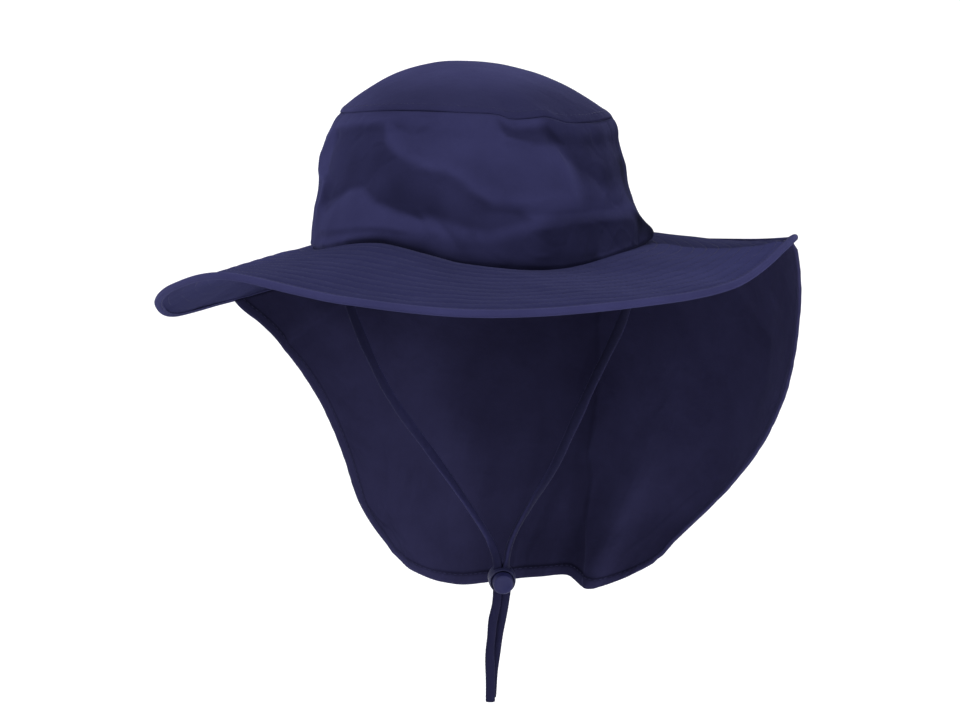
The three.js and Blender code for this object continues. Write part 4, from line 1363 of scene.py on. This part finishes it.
def make_flap():
    cloth = cloth_material("flap_microfibre", FLAP_SHADED_NAVY, puckers=0.55)
    columns, rows = FLAP_COLUMNS, FLAP_ROWS
    nudge = 0.01
    share = np.linspace(0, 1, 101)
    far = np.ones_like(share)

    def speed(one, other):
        """Millimetres per share at an edge, from points a nudge apart."""
        return np.linalg.norm(flap(*one) - flap(*other), axis=1) / nudge

    speed_left = speed((nudge + 0 * share, share), (0 * share, share))
    speed_right = speed((far, share), (far - nudge, share))
    speed_foot = speed((share, far), (share, far - nudge))
    down = np.empty((columns, rows))
    for i, foot_speed in enumerate(np.interp(np.linspace(0, 1, columns), share, speed_foot)):
        foot = 1 - HEM_MARKS[::-1] / foot_speed
        top = np.linspace(0, foot[0], rows - len(HEM_MARKS) + 1)[:-1]
        down[i] = np.concatenate([top, foot])
    across = np.empty((columns, rows))
    for j in range(rows):
        left = HEM_MARKS / np.interp(down[:, j].mean(), share, speed_left)
        right = 1 - HEM_MARKS[::-1] / np.interp(down[:, j].mean(), share, speed_right)
        middle = np.linspace(left[-1], right[0], columns - 2 * len(HEM_MARKS) + 2)[1:-1]
        across[:, j] = np.concatenate([left, middle, right])
    base = flap(across, down)
    n = normals(base, False)
    from_left = across * np.interp(down, share, speed_left)
    from_right = (1 - across) * np.interp(down, share, speed_right)
    sides = np.minimum(from_left, from_right)
    edge = np.minimum(sides, (1 - down) * np.interp(across, share, speed_foot))
    for place, inwards, pull, reach in FLAP_CORNERS:
        corner = flap(*np.array(place))
        towards = unit(flap(*np.array(inwards)) - corner)
        gap = np.linalg.norm(base - corner, axis=2)
        base = base + (pull * bell(gap / reach))[..., None] * towards
    flat = (FLAP_SPAN, FLAP_DROP)
    u, v = across * FLAP_SPAN, down * FLAP_DROP
    relief = uneven(u, v * 0.5, FLAP_UNEVEN[:1]) + uneven(u, v, FLAP_UNEVEN[1:])
    relief = relief + crumple(53, u, v * 0.6, FLAP_CRUMPLE) + fold_lines(u, v, FLAP_CREASES, *flat)
    relief = relief * step_up(down, *FLAP_START) * step_up(sides, *SIDE_START)
    puff = step_up(down, *PUFF_TOP) * bell(down / PUFF_DROP) * step_up(across, *PUFF_SIDE)
    gather = pucker(33, u + v, edge, spacing=10, reach=9, length=2 * FLAP_SPAN) * step_up(down, 0, 0.1)
    relief = relief + CORNER_PUFF * puff + HEM_GATHER * gather
    in_hem = 1 - step_up(edge, HEM_WIDTH - 0.4, HEM_WIDTH + 0.3)
    groove = bulge(edge, *HEM_GROOVE)
    # Painted light on the hem and painted shade beside its stitches; the inner side also takes the flap's
    # painted shade and light
    outer_painted_shade = HEM_PAINTED_LIGHT * in_hem + bulge(edge, *HEM_LINE_PAINTED_SHADE)
    painted_shade = outer_painted_shade + patches(u, v, FLAP_PAINTED_SHADE, *flat)
    rounded = np.sqrt(np.clip(1 - (1 - np.clip(edge / EDGE_ROUND, 0, 1)) ** 2, 0.02, 1))
    outer = (FLAP_WALL / 2 + HEM_OUTER * in_hem) * rounded - OUTER_GROOVE * groove
    inner = (FLAP_WALL / 2 + HEM_LIFT * in_hem) * rounded - groove
    front, back = wall(base, n, outer, inner, relief)
    uv = np.stack([u, v], -1)
    flap_cloth = shell("neck_flap_cloth", front, back, uv, cloth, ring=False, painted_shade=outer_painted_shade, back_painted_shade=painted_shade,
                       skip=1)
    k = int(np.argmin(np.abs(HEM_MARKS - HEM_STITCH)))
    last, foot = columns - 1 - k, rows - 1 - k

    def hem_line(grid):
        return np.concatenate([grid[k, :foot], grid[k:last, foot], grid[last, foot::-1]])

    lines = [(hem_line(front), hem_line(n), False), (hem_line(back), -hem_line(n), False)]
    sewn = stitches("flap_hem_stitches", lines)
    for piece in (flap_cloth, sewn):
        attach(piece, "hat")
    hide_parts("neck_flap")


make_flap()

# Studio: a pale floor that rises into a backdrop, in metres, and soft light mostly from above
FLOOR_HEIGHT = -0.62
FLOOR_FRONT = -8
FLOOR_SIDE = 9
BEND_START = 1.6
BEND_RADIUS = 1.2
BEND_STEPS = 16
BACKDROP_TOP = 4
# Each light's name, azimuth and elevation in degrees, distance, diameter and power
LIGHTS = [
    ("key", -8, 45, 2.1, 0.9, 40),
    ("top_back", 165, 66, 2.2, 1.2, 12),
    ("fill_left", -62, 14, 2.2, 1.2, 18),
    ("fill_right", 70, 2, 2.2, 1.2, 34),
]


def make_studio():
    floor_material = new_material(
        "studio_floor", Base_Color=(0.93, 0.93, 0.93, 1), Roughness=0.9, Emission_Color=(1, 1, 1, 1),
        Emission_Strength=0.16)[0]
    profile = [(FLOOR_FRONT, FLOOR_HEIGHT)]
    for t in np.linspace(0, math.pi / 2, BEND_STEPS + 1):
        rise = BEND_RADIUS * (1 - math.cos(t))
        profile.append((BEND_START + BEND_RADIUS * math.sin(t), FLOOR_HEIGHT + rise))
    profile.append((BEND_START + BEND_RADIUS, BACKDROP_TOP))
    c, s = math.cos(CAMERA_TURN), math.sin(CAMERA_TURN)
    points = []
    for depth, height in profile:
        for side in (-FLOOR_SIDE, FLOOR_SIDE):
            points.append(np.array([side * c - depth * s, side * s + depth * c, height]) / MM)
    faces = [[2 * k, 2 * k + 1, 2 * k + 3, 2 * k + 2] for k in range(len(profile) - 1)]
    floor = add_mesh("studio_floor", points, faces, material=floor_material)

    for name, azimuth, elevation, distance, size, power in LIGHTS:
        data = bpy.data.lights.new(name, "AREA")
        data.shape = "DISK"
        data.size = size
        data.energy = power
        light = bpy.data.objects.new(name, data)
        a, e = math.radians(azimuth), math.radians(elevation)
        place = Vector((math.sin(a) * math.cos(e), -math.cos(a) * math.cos(e), math.sin(e))) * distance
        light.location = place
        light.rotation_euler = place.to_track_quat("Z", "Y").to_euler()
        bpy.context.scene.collection.objects.link(light)
    world = bpy.data.worlds.new("studio")
    bpy.context.scene.world = world
    world.use_nodes = True
    set_inputs(world.node_tree.nodes["Background"], Color=(0.97, 0.98, 1, 1), Strength=0.5)
    bpy.context.scene.view_settings.view_transform = "Standard"


make_studio()

bpy.context.view_layer.update()
